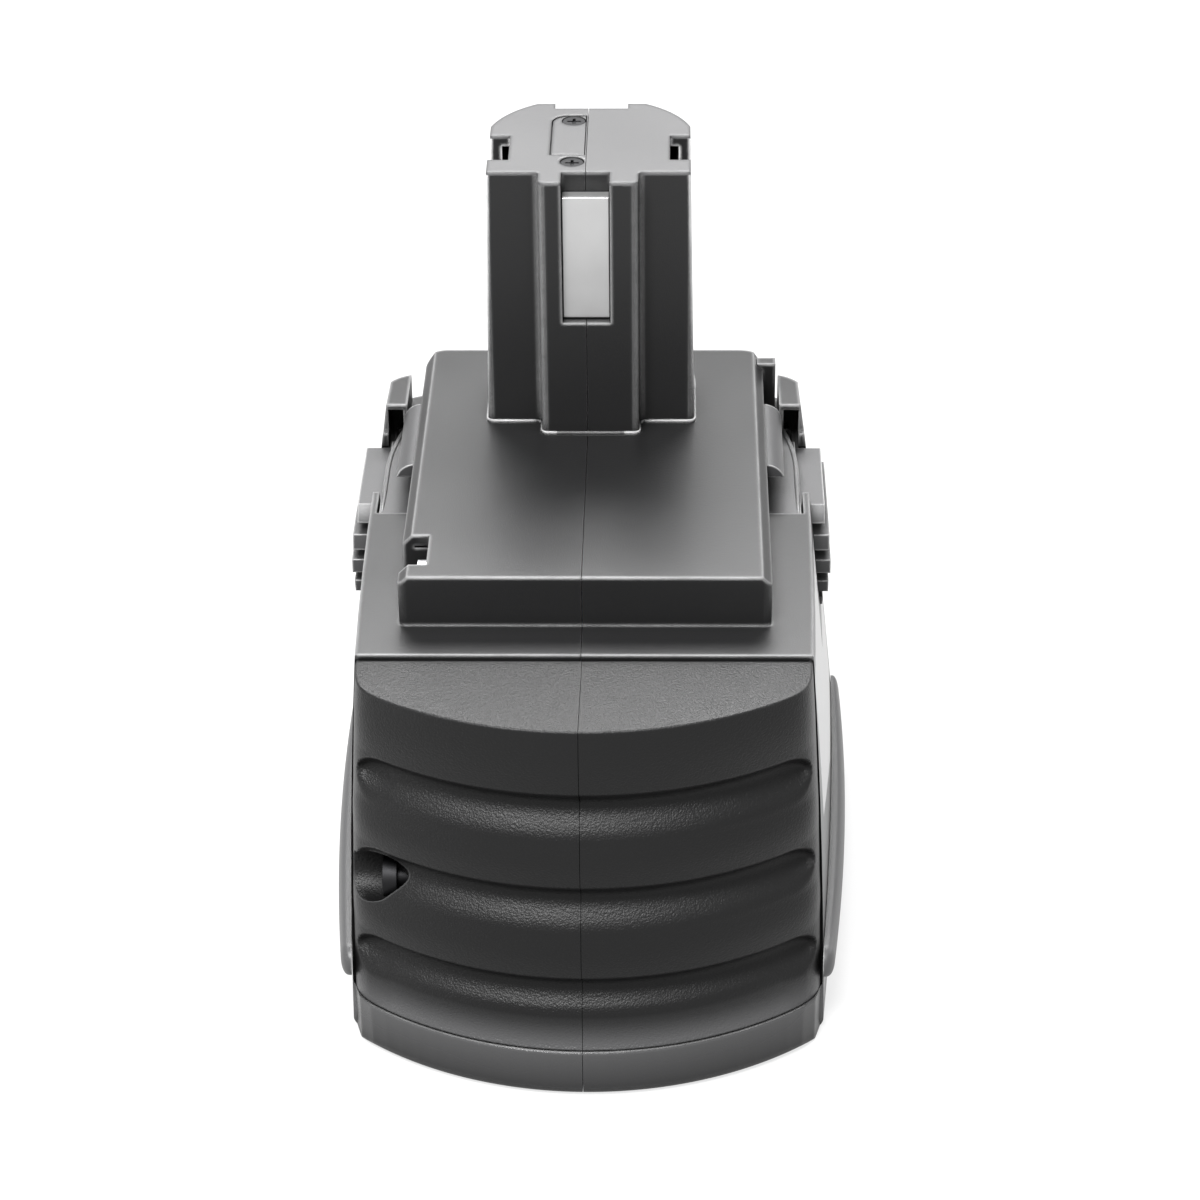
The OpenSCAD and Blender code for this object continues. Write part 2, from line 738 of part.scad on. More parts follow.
// The ring of points at angle a: up the outside, over the flat top and down the inside
function grip_ring(a) =
    let (
        inner = blend_r(a, front_r, corner_x) - grip_t,
        lens = min((front_c - groove_line_y) / cos(a), grip_r(a, nose_top) - lens_lip),
        zs = [for (k = [0:grip_levels - 1])
            grip_z0 + (nose_top - grip_z0) * k / (grip_levels - 1)],
        top = nose_top - lens_t)
    concat(
        [for (z = zs) [grip_r(a, z), z]],
        [[lens, nose_top], [lens, top]],
        [for (k = [grip_levels - 1:-1:0])
            [inner, grip_z0 + (top - grip_z0) * k / (grip_levels - 1)]]);
module grip_half(start) {
    count = 2 * grip_levels + 2;
    angles = [for (i = [0:grip_steps]) start + (grip_angle - start) * i / grip_steps];
    points = [for (a = angles) for (p = grip_ring(a))
        [p[0] * sin(a), front_c - p[0] * cos(a), p[1]]];
    sides = [for (i = [0:grip_steps - 1]) for (k = [0:count - 1])
        let (n = (k + 1) % count, p = i * count, q = p + count)
        each [[p + k, q + k, q + n], [p + k, q + n, p + n]]];
    outer_last = grip_levels - 1;
    function inner_of(k) = count - 1 - k;
    cap = concat(
        [for (k = [0:grip_levels - 2]) each
            [[k, k + 1, inner_of(k + 1)], [k, inner_of(k + 1), inner_of(k)]]],
        [[outer_last, grip_levels, grip_levels + 1],
            [outer_last, grip_levels + 1, inner_of(outer_last)]]);
    last = grip_steps * count;
    faces = concat(sides, cap, [for (f = cap) [f[2] + last, f[1] + last, f[0] + last]]);
    polyhedron(points, [for (f = faces) [f[2], f[1], f[0]]]);
}
module right_grip() {
    color([0.2, 0.2, 0.21]) grip_half(grip_start);
}
module left_grip() {
    color([0.2, 0.2, 0.21])
        difference() {
            mirror([1, 0, 0]) grip_half(grip_start_left);
            x_cylinder(front_screw, sink_r, -far, front_screw[2] + 4);
        }
}

// A bumper stands out most at its front, because it is bowed more than the side behind it
bumper_y0 = -41.5;
bumper_y1 = 51;
bumper_bow_y = 35;    // where it is farthest from the middle of the pack
bumper_swing = 4.6;   // how much farther out it is there than at its front
bumper_x = side_x(bumper_y0, bumper_z) + bumper_out + bumper_swing;
bumper_bow_r = pow(bumper_bow_y - bumper_y0, 2) / (2 * bumper_swing);
module bumper(s) {
    color([0.3, 0.3, 0.31])
        difference() {
            intersection() {
                along_x(s > 0 ? 30 : -60, s > 0 ? 60 : -30) {
                    translate([bumper_y0 + bumper_h / 2, bumper_z - bumper_h / 2])
                        square([bumper_y1 - bumper_y0 - bumper_h, bumper_h]);
                    for (y = [bumper_y0 + bumper_h / 2, bumper_y1 - bumper_h / 2])
                        translate([y, bumper_z]) circle(bumper_h / 2);
                }
                translate([s * (bumper_x - bumper_bow_r), bumper_bow_y, 0])
                    cylinder(r = bumper_bow_r, h = far, $fn = 2 * outer_fn);
            }
            side_cylinder(s, 0.05);
        }
}
module left_bumper() { bumper(-1); }
module right_bumper() { bumper(1); }

module side_label(s) {
    color([0.35, 0.35, 0.36])
        difference() {
            label_zone(s, -0.02);
            side_cylinder(s, 0.02 - label_t);
        }
}
module left_label() { side_label(-1); }
module right_label() { side_label(1); }

module stem_cover() {
    color([0.5, 0.5, 0.5])
        difference() {
            translate([0, 0, stem_top - cover_t - 0.1]) linear_extrude(cover_t) cover_plan(0.22);
            translate([stem_screw_at[0][0], stem_screw_at[0][1], 0])
                cylinder(r = stem_head_r + 0.15, h = far);
        }
}
module stem_screws() {
    color("silver")
        for (p = stem_screw_at)
            translate([p[0], p[1], 0])
                difference() {
                    union() {
                        translate([0, 0, stem_top - 1.2]) cylinder(r = stem_head_r, h = 1);
                        translate([0, 0, stem_roof - 2]) cylinder(r = 0.9, h = 3);
                    }
                    translate([-1.2, -0.25, stem_top - 0.7]) cube([2.4, 0.5, 1]);
                    translate([-0.25, -1.2, stem_top - 0.7]) cube([0.5, 2.4, 1]);
                }
}
module case_screw(at) {
    difference() {
        union() {
            x_cylinder(at, screw_r, at[2] - cut, screw_reach);
            x_cylinder(at, head_r, at[2] - head_h, at[2]);
        }
        for (turn = [0, 90])
            translate([at[2] - head_h, at[0], at[1]])
                rotate([turn, 0, 0]) cube([2.4, 0.8, 3.6], center = true);
    }
}
module case_screws() {
    color("silver") {
        case_screw(front_screw);
        case_screw(rear_screw);
    }
}
module platform_screw() {
    at = platform_screw_at;
    color("silver")
        difference() {
            union() {
                x_cylinder(at, small_screw_r, at[2] - cut, screw_reach);
                x_cylinder(at, head_r - 0.9, pocket_x - 1.8, pocket_x);
            }
            translate([pocket_x - 1.8, at[0], at[1]]) cube([1.6, 0.7, 3], center = true);
            translate([pocket_x - 1.8, at[0], at[1]]) cube([1.6, 3, 0.7], center = true);
        }
}

module left_latch() { color([0.3, 0.3, 0.3]) mirror([1, 0, 0]) latch(); }
module right_latch() { color([0.3, 0.3, 0.3]) latch(); }

// A coil spring around the peg: a round wire of six sides swept along a helix
coil_r = peg_r + 0.5 + spring_wire / 2;
spring_steps = 12;
module spring() {
    sides = 6;
    r = spring_wire / 2;
    x0 = seat_x1 + r + 0.02;
    x1 = button_back - r - 0.02;
    count = spring_turns * spring_steps;
    points = [for (i = [0:count]) for (k = [0:sides - 1])
        let (a = 360 * i / spring_steps, b = 360 * k / sides, q = coil_r + r * cos(b))
        [x0 + (x1 - x0) * i / count + r * sin(b), button_y + q * cos(a), button_z + q * sin(a)]];
    walls = [for (i = [0:count - 1]) for (k = [0:sides - 1])
        let (n = (k + 1) % sides, p = i * sides, q = p + sides)
        each [[p + k, p + n, q + n], [p + k, q + n, q + k]]];
    ends = [for (k = [1:sides - 2]) each
        [[0, k + 1, k], [count * sides, count * sides + k, count * sides + k + 1]]];
    polyhedron(points, concat(walls, ends));
}
module left_latch_spring() { color("lightgray") mirror([1, 0, 0]) spring(); }
module right_latch_spring() { color("lightgray") spring(); }

// Fifteen cells: twelve standing in the body, two lying over them and one in the stem
pitch = cell_d + cell_gap;
first_row_y = -28.4;
pad_z = wall;
cells_z0 = pad_z + pad_t + fit + strap_t;
cells_z1 = cells_z0 + cell_len;
card_z = cells_z1 + strap_t + fit;
upper_z = card_z + card_t + fit + cell_d / 2;
upper_y = [-28, -28 + pitch];
stem_cell_z = platform_top + 0.5;
module cell(cap_up) {
    can = cell_len - cap_h;
    translate([0, 0, cap_up ? 0 : cap_h]) cylinder(d = cell_d, h = can);
    translate([0, 0, cap_up ? can - cut : 0]) cylinder(d = cap_d, h = cap_h + cut);
}
// The cells are joined in a chain that goes back and forth across the rows
function chain_x(k) =
    let (row = floor(k / 3), i = k % 3) (row % 2 == 0 ? i - 1 : 1 - i) * pitch;
function chain_y(k) = first_row_y + floor(k / 3) * pitch;
module lower_cells() {
    color([0.2, 0.35, 0.55])
        for (k = [0:11])
            translate([chain_x(k), chain_y(k), cells_z0]) cell(k % 2 == 0);
}
module upper_cells() {
    color([0.2, 0.35, 0.55])
        for (y = upper_y)
            translate([-cell_len / 2, y, upper_z]) rotate([0, 90, 0]) cell(y == upper_y[0]);
}
module stem_cell() {
    color([0.2, 0.35, 0.55]) translate([0, stem_c - 0.35, stem_cell_z]) cell(true);
}
module strap(k, z) {
    x = (chain_x(k) + chain_x(k + 1)) / 2;
    y = (chain_y(k) + chain_y(k + 1)) / 2;
    across = abs(chain_x(k) - chain_x(k + 1)) > 1;
    size = across ? [pitch + strap_w, strap_w] : [strap_w, pitch + strap_w];
    translate([x - size[0] / 2, y - size[1] / 2, z]) cube([size[0], size[1], strap_t]);
}
module top_straps() {
    color("silver") for (k = [0:2:10]) strap(k, cells_z1 + 0.02);
}
module bottom_straps() {
    color("silver") for (k = [1:2:9]) strap(k, cells_z0 - strap_t - 0.02);
}
module upper_strap() {
    color("silver")
        translate([cell_len / 2 + 0.02, upper_y[0] - strap_w / 2, upper_z - strap_w / 2])
            cube([strap_t, pitch + strap_w, strap_w]);
}
pad_x = 33;
module bottom_pad() {
    color([0.25, 0.25, 0.25])
        cell_sheet(pad_z + 0.02, pad_t);
}
// A flat piece as large as the lower cells, with its front corners cut to the case
module cell_sheet(z, t) {
    intersection() {
        translate([-pad_x, first_row_y - cell_d / 2, z])
            cube([2 * pad_x, 3 * pitch + cell_d, t]);
        front_block(corner_x, grip_t + recess_wall + 3 * fit, 0, far);
    }
}
module front_pad() {
    color([0.25, 0.25, 0.25])
        intersection() {
            front_block(corner_x, grip_t + recess_wall + 2 * fit, cells_z0 + 2, front_screw[1] - 8);
            translate([-25, -far, 0])
                cube([50, far + first_row_y - cell_d / 2 - 0.2, far]);
        }
}
module rear_pad() {
    y = first_row_y + 3 * pitch + cell_d / 2 + 0.1;
    color([0.25, 0.25, 0.25])
        translate([-28, y, cells_z0]) cube([56, platform_y1 - wall - 0.1 - y, cell_len - 2]);
}
module insulator_card() {
    color([0.8, 0.78, 0.7]) cell_sheet(card_z, card_t);
}
post_y = 38.5;
module stem_post() {
    z = card_z + card_t + 0.02;
    color([0.3, 0.3, 0.3])
        translate([0, post_y, z])
            difference() {
                cylinder(r = 7.5, h = stem_cell_z - 0.05 - z);
                translate([0, 0, -cut]) cylinder(r = 5.9, h = far);
            }
}

carrier_z = stem_cell_z + cell_len + 0.1;
pad_front_y = stem_y0 + 2.3;
contact_w = 8;
carrier_half = 9.5;
module contact_carrier() {
    color([0.85, 0.82, 0.7])
        difference() {
            union() {
                translate([-carrier_half, stem_y1 + stem_wall + 0.6, carrier_z])
                    cube([2 * carrier_half, 21.6, stem_roof - 0.2 - carrier_z]);
                translate([slot_x - 2.3, pad_front_y, port_z + 0.2])
                    cube([4.6, stem_y1 + stem_wall + 1.6 - pad_front_y, port_h - 0.4]);
                translate([slot_x - contact_w / 2, pad_front_y, slot_z + 0.3])
                    cube([contact_w, stem_y1 - 0.15 - pad_front_y, port_z + port_h - 0.2 - slot_z - 0.3]);
            }
            for (p = stem_screw_at)
                translate([p[0], p[1], 0]) cylinder(r = 1, h = far);
        }
}
contact_t = 0.6;
module front_contact() {
    z1 = port_z + port_h - 0.18;
    color("gold")
        translate([slot_x - contact_w / 2, 0, 0]) {
            translate([0, pad_front_y - contact_t - 0.02, slot_z + 0.3])
                cube([contact_w, contact_t, z1 + contact_t - slot_z - 0.3]);
            translate([0, pad_front_y - contact_t - 0.02, z1])
                cube([contact_w, stem_y1 - 0.15 - pad_front_y + contact_t, contact_t]);
        }
}
module side_contact(s) {
    color("gold")
        mirror([s < 0 ? 1 : 0, 0, 0]) {
            translate([notch_x + 0.05, notch_y + 0.6, slot_z + 1])
                cube([contact_t, notch_len - 1.2, port_z + 1 + contact_t - slot_z - 1]);
            translate([carrier_half + 0.02, notch_y + 3.2, port_z + 1])
                cube([notch_x + 0.03 + contact_t - carrier_half, notch_len - 6.4, contact_t]);
        }
}
module left_contact() { side_contact(-1); }
module right_contact() { side_contact(1); }

// Leads run down the inside of the stem and end on the card over the lower cells
lead_r = 0.9;
// A tube of eight sides swept along a route, with one ring at each of its points
module tube(route, r) {
    sides = 8;
    last = len(route) - 1;
    function unit(v) = v / norm(v);
    function heading(i) = unit(route[min(i + 1, last)] - route[max(i - 1, 0)]);
    points = [for (i = [0:last])
        let (h = heading(i), u = unit(cross(h, [0.1, 1, 0])), v = cross(h, u))
        for (k = [0:sides - 1]) route[i] + r * (cos(360 * k / sides) * u + sin(360 * k / sides) * v)];
    walls = [for (i = [0:last - 1]) for (k = [0:sides - 1])
        let (n = (k + 1) % sides, p = i * sides, q = p + sides)
        each [[p + k, p + n, q + n], [p + k, q + n, q + k]]];
    ends = [for (k = [1:sides - 2]) each
        [[0, k + 1, k], [last * sides, last * sides + k, last * sides + k + 1]]];
    polyhedron(points, [for (f = concat(walls, ends)) [f[2], f[1], f[0]]]);
}
module lead(s) {
    z = carrier_z + 1;
    card_top = card_z + card_t + 0.1;
    tube([[s * (carrier_half + 0.2), 44, z], [s * 11.5, 44, z - 0.3], [s * 13, 44.5, z - 2.5],
        [s * 13.3, 44.5, z - 6], [s * 13.3, 44.5, platform_top], [s * 14, 45, shoulder_h],
        [s * 15, 46, shoulder_h - 6], [s * 15, 46, card_top]], lead_r);
}
module positive_lead() { color("firebrick") lead(1); }
module negative_lead() { color([0.1, 0.1, 0.1]) lead(-1); }
module thermistor() {
    z = card_z + card_t + 0.05;
    color([0.15, 0.15, 0.15])
        translate([12, upper_y[1] + pitch / 2 + 2.5, z + 1.5]) rotate([0, 90, 0]) cylinder(r = 1.5, h = 6);
}
module thermal_cutout() {
    z = card_z + card_t + 0.05;
    color([0.75, 0.75, 0.75])
        translate([-20, upper_y[1] + pitch / 2 + 1.2, z]) cube([14, 6, 3.6]);
}

left_shell();
right_shell();
left_grip();
right_grip();
left_bumper();
right_bumper();
left_label();
right_label();
stem_cover();
stem_screws();
case_screws();
platform_screw();
left_latch();
right_latch();
left_latch_spring();
right_latch_spring();
lower_cells();
upper_cells();
stem_cell();
bottom_straps();
top_straps();
upper_strap();
bottom_pad();
front_pad();
rear_pad();
insulator_card();
stem_post();
contact_carrier();
front_contact();
left_contact();
right_contact();
positive_lead();
negative_lead();
thermistor();
thermal_cutout();
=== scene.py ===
# %% [markdown]
# # A stem-type battery pack for a hand-held power tool
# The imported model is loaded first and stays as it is: two moulded half cases, two latches and
# what lies inside. This lesson gives each part its finish, replaces the grip, the side bumpers
# and the latch springs by finer surfaces, and sets up a camera, a floor and soft light.
# Everything is in metres, +Z up, and the ribbed grip faces -Y.

# %% Load the frame
import json
import math
import bmesh
import bpy
import numpy as np
from mathutils import Matrix, Vector


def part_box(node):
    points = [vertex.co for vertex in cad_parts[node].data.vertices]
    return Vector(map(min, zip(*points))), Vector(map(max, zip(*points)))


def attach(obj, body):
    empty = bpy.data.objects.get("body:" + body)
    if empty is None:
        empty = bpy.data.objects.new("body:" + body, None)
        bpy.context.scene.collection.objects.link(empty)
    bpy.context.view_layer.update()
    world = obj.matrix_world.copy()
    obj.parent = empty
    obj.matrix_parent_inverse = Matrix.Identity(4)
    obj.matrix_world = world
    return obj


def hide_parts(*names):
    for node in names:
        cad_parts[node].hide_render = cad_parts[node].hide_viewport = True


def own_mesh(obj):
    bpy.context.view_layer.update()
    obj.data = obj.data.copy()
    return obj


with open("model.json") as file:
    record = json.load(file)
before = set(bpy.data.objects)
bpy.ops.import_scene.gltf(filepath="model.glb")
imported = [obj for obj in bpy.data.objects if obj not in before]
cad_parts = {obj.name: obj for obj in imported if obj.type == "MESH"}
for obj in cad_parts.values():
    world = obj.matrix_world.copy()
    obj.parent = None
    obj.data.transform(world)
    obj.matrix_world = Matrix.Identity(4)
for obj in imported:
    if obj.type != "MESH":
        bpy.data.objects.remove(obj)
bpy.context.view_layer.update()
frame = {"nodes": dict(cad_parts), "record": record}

MM = 0.001
nodes = frame["nodes"]

# %% [markdown]
# ## Camera
# The camera stands in front of the pack and looks down at about 31 degrees, as in the
# photograph. A constraint could point it at a target, but the photograph is also rolled a
# little. So the camera's three axes were worked out from the straight edges of the platform and
# the shoulder, and are written down as right, down and forward.

# %% Camera
CAMERA_AT = (0.01430, -0.52061, 0.37653)
RIGHT = Vector((0.99979, 0.01832, -0.00913))
DOWN = Vector((0.00162, -0.51512, -0.85712))
FORWARD = Vector((-0.02040, 0.85692, -0.51504))
camera_data = bpy.data.cameras.new("camera")
SENSOR_MM, FRAME_PX, FOCAL_PX = 36, 1200, 3477
camera_data.sensor_width = SENSOR_MM
camera_data.lens = SENSOR_MM * FOCAL_PX / FRAME_PX
camera_data.clip_end = 50
camera = bpy.data.objects.new("camera", camera_data)
camera_turn = Matrix((RIGHT, -DOWN, -FORWARD)).transposed().to_4x4()
camera.matrix_world = Matrix.Translation(CAMERA_AT) @ camera_turn
bpy.context.scene.collection.objects.link(camera)
bpy.context.scene.camera = camera
print("lens", round(camera_data.lens, 1), "mm")

# %% [markdown]
# ## Node groups for moulded plastic
# Two effects are used by several finishes, so each is a node group with named inputs.
# "Moulded grain" is the fine spark-eroded texture of a mould: cells of two sizes that make tiny
# highlights. The second group finds where a rounded normal leaves the flat one, which is only at
# edges, and gives a mask that is 1 on the edge and 0 on the faces, where the finishes lay on a
# painted highlight. It leaves out inner corners and the two edges of the seam, which stays a dark
# line. Its third output tells how open a place is, so holes and gaps get painted shade.

# %% Helpers for node trees
def new_group(name, inputs, outputs):
    """An empty shader group with float, colour or vector sockets."""
    tree = bpy.data.node_groups.new(name, "ShaderNodeTree")
    for label, kind, value in inputs:
        socket = tree.interface.new_socket(label, in_out="INPUT", socket_type=kind)
        if value is not None:
            socket.default_value = value
    for label, kind in outputs:
        tree.interface.new_socket(label, in_out="OUTPUT", socket_type=kind)
    return tree, tree.nodes.new("NodeGroupInput"), tree.nodes.new("NodeGroupOutput")


def add(tree, kind, **settings):
    """A node of the tree; names in lower case set its properties."""
    made = tree.nodes.new("ShaderNode" + kind)
    for key, value in settings.items():
        setattr(made, key, value)
    return made


def maths(tree, operation, a, b=None, clamp=False):
    """A Math node; numbers are set on its sockets and sockets are linked."""
    made = add(tree, "Math", operation=operation, use_clamp=clamp)
    for i, value in enumerate((a, b)):
        if value is None:
            continue
        if isinstance(value, (int, float)):
            made.inputs[i].default_value = value
        else:
            tree.links.new(value, made.inputs[i])
    return made.outputs[0]


def noise(tree, place, scale, detail=2.0, rough=0.5):
    """A Noise node that reads the place given."""
    made = add(tree, "TexNoise")
    made.inputs["Scale"].default_value = scale
    made.inputs["Detail"].default_value = detail
    made.inputs["Roughness"].default_value = rough
    tree.links.new(place, made.inputs["Vector"])
    return made.outputs["Fac"]


print("ready:", ", ".join(helper.__name__ for helper in (new_group, add, maths, noise)))

# %% Group: moulded grain
COARSE_SCALE, COARSE_SHARE = 0.6, 0.3   # the larger cells and their share of the height
CLOUD_SCALE = 28.0                      # the slow drift of pigment, per metre
grain_group, g_in, g_out = new_group(
    "moulded_grain",
    [("Place", "NodeSocketVector", None), ("Grains per metre", "NodeSocketFloat", 2600.0)],
    [("Height", "NodeSocketFloat"), ("Cloud", "NodeSocketFloat")])
fine = add(grain_group, "TexNoise")
fine.inputs["Detail"].default_value = 3.0
grain_group.links.new(g_in.outputs["Place"], fine.inputs["Vector"])
grain_group.links.new(g_in.outputs["Grains per metre"], fine.inputs["Scale"])
coarse = add(grain_group, "TexNoise")
coarse.inputs["Detail"].default_value = 1.0
grain_group.links.new(g_in.outputs["Place"], coarse.inputs["Vector"])
grain_group.links.new(maths(grain_group, "MULTIPLY", g_in.outputs["Grains per metre"],
                            COARSE_SCALE), coarse.inputs["Scale"])
height = maths(grain_group, "ADD",
               maths(grain_group, "MULTIPLY", fine.outputs["Fac"], 1 - COARSE_SHARE),
               maths(grain_group, "MULTIPLY", coarse.outputs["Fac"], COARSE_SHARE))
grain_group.links.new(height, g_out.inputs["Height"])
cloud = noise(grain_group, g_in.outputs["Place"], CLOUD_SCALE, 3.0)
grain_group.links.new(cloud, g_out.inputs["Cloud"])
print("grain: fine cells, and larger ones at", COARSE_SCALE, "of their number per metre")

# %% Group: painted edge highlight
SEAM_X, SEAM_GAP = -0.5, 0.1   # place and width of the seam, in millimetres
SEAM_CLEAR = 0.0013            # the seam's own edges aren't rounded nearer to it than this
NEAR, WIDE = 0.002, 0.007      # how far the two openness tests look, in metres
OUTER_FROM, OUTER_GAIN = 0.6, 5.0   # an outer edge is open to more than this near by
OPEN_FROM, OPEN_GAIN = 0.3, 2.4     # a hole is open to less than this farther off
edge_group, e_in, e_out = new_group(
    "painted_edge_highlight",
    [("Rounded", "NodeSocketVector", None), ("Place", "NodeSocketVector", None)],
    [("Mask", "NodeSocketFloat"), ("Smooth", "NodeSocketVector"), ("Open", "NodeSocketFloat")])
flat_normal = add(edge_group, "NewGeometry").outputs["Normal"]
near = add(edge_group, "AmbientOcclusion", samples=4)
near.inputs["Distance"].default_value = NEAR
wide = add(edge_group, "AmbientOcclusion", samples=4)
wide.inputs["Distance"].default_value = WIDE
outer_edge = maths(edge_group, "MULTIPLY",
                   maths(edge_group, "SUBTRACT", near.outputs["AO"], OUTER_FROM), OUTER_GAIN,
                   clamp=True)
print("openness tests at", NEAR, "and", WIDE, "m")

# %% Painted edge highlight: the seam's edges stay sharp
place_parts = add(edge_group, "SeparateXYZ")
edge_group.links.new(e_in.outputs["Place"], place_parts.inputs[0])
from_seam = maths(edge_group, "ABSOLUTE",
                  maths(edge_group, "SUBTRACT", place_parts.outputs["X"], SEAM_X * MM))
off_seam = maths(edge_group, "GREATER_THAN", from_seam, SEAM_CLEAR)
at_seam = maths(edge_group, "SUBTRACT", 1.0, off_seam)
flat_parts = add(edge_group, "SeparateXYZ")
edge_group.links.new(flat_normal, flat_parts.inputs[0])
round_parts = add(edge_group, "SeparateXYZ")
edge_group.links.new(e_in.outputs["Rounded"], round_parts.inputs[0])
x_part = maths(edge_group, "ADD",
               maths(edge_group, "MULTIPLY", off_seam, round_parts.outputs["X"]),
               maths(edge_group, "MULTIPLY", at_seam, flat_parts.outputs["X"]))
rounded_here = add(edge_group, "CombineXYZ")
edge_group.links.new(x_part, rounded_here.inputs["X"])
edge_group.links.new(round_parts.outputs["Y"], rounded_here.inputs["Y"])
edge_group.links.new(round_parts.outputs["Z"], rounded_here.inputs["Z"])
turn_normal = add(edge_group, "Mix", data_type="VECTOR")
edge_group.links.new(outer_edge, turn_normal.inputs[0])
edge_group.links.new(flat_normal, turn_normal.inputs[4])
edge_group.links.new(rounded_here.outputs[0], turn_normal.inputs[5])
unit = add(edge_group, "VectorMath", operation="NORMALIZE")
edge_group.links.new(turn_normal.outputs[1], unit.inputs[0])
print("the seam is kept sharp within", SEAM_CLEAR, "m")

# %% Painted edge highlight: the three outputs
HIGHLIGHT_PATCH_SCALE = 160.0   # patches of the painted edge highlight per metre
BEND_GAIN = 10.0     # how soon a bent normal counts as an edge
PATCH_GAIN, PATCH_LEAST = 0.9, 0.45   # how much the patches break up the painted edge highlight
dot = add(edge_group, "VectorMath", operation="DOT_PRODUCT")
edge_group.links.new(flat_normal, dot.inputs[0])
edge_group.links.new(unit.outputs[0], dot.inputs[1])
bend = maths(edge_group, "MULTIPLY",
             maths(edge_group, "SUBTRACT", 1.0, dot.outputs["Value"]), BEND_GAIN, clamp=True)
patches = noise(edge_group, e_in.outputs["Place"], HIGHLIGHT_PATCH_SCALE, 4.0, 0.6)
broken = maths(edge_group, "ADD", maths(edge_group, "MULTIPLY", patches, PATCH_GAIN),
               PATCH_LEAST, clamp=True)
edge_group.links.new(maths(edge_group, "MULTIPLY", bend, broken), e_out.inputs["Mask"])
edge_group.links.new(unit.outputs[0], e_out.inputs["Smooth"])
openness = maths(edge_group, "MULTIPLY",
                 maths(edge_group, "SUBTRACT", wide.outputs["AO"], OPEN_FROM), OPEN_GAIN,
                 clamp=True)
edge_group.links.new(openness, e_out.inputs["Open"])
print("groups:", [g.name for g in bpy.data.node_groups])

# %% [markdown]
# ## The finishes
# A plastic is a Principled shader with a dark base colour. Its normal starts as a rounded one,
# so that every sharp edge of the CAD model catches a thin line of light as a moulded edge does,
# and the grain goes on top as a bump. A lighter colour is laid on outer edges as a painted
# highlight, holes and gaps get painted shade, and the colour drifts slightly over the part, as
# pigment does.

# %% Helpers for materials
def shader_of(material):
    """The Principled shader of a new material."""
    return next(n for n in material.node_tree.nodes if n.type == "BSDF_PRINCIPLED")


def new_material(name, roughness):
    """A material with a Principled shader of this roughness."""
    made = bpy.data.materials.new(name)
    made.use_nodes = True
    shader_of(made).inputs["Roughness"].default_value = roughness
    return made


def object_place(tree):
    """The place on the object, in metres, which moves with the piece."""
    return add(tree, "TexCoord").outputs["Object"]


def mixed(tree, mask, low, high):
    """A colour between low and high by the mask."""
    made = add(tree, "Mix", data_type="RGBA")
    made.inputs[6].default_value = (*low, 1)
    made.inputs[7].default_value = (*high, 1)
    tree.links.new(mask, made.inputs[0])
    return made.outputs[2]


def laid_over(tree, mask, below, colour):
    """The colour laid over another one where the mask is 1."""
    made = add(tree, "Mix", data_type="RGBA")
    made.inputs[7].default_value = (*colour, 1)
    tree.links.new(mask, made.inputs[0])
    tree.links.new(below, made.inputs[6])
    return made.outputs[2]


print("ready:", ", ".join(helper.__name__ for helper in (new_material, mixed, laid_over)))

# %% Moulded plastic
DRIFT = (0.9, 1.12)      # the darkest and the palest pigment, as shares of the colour
SPREAD = 0.16            # how far the roughness drifts with the pigment
GAP_SHADE, GAP_DULL = 0.15, 0.2   # painted shade deep in a gap: share of the colour left there, and roughness added
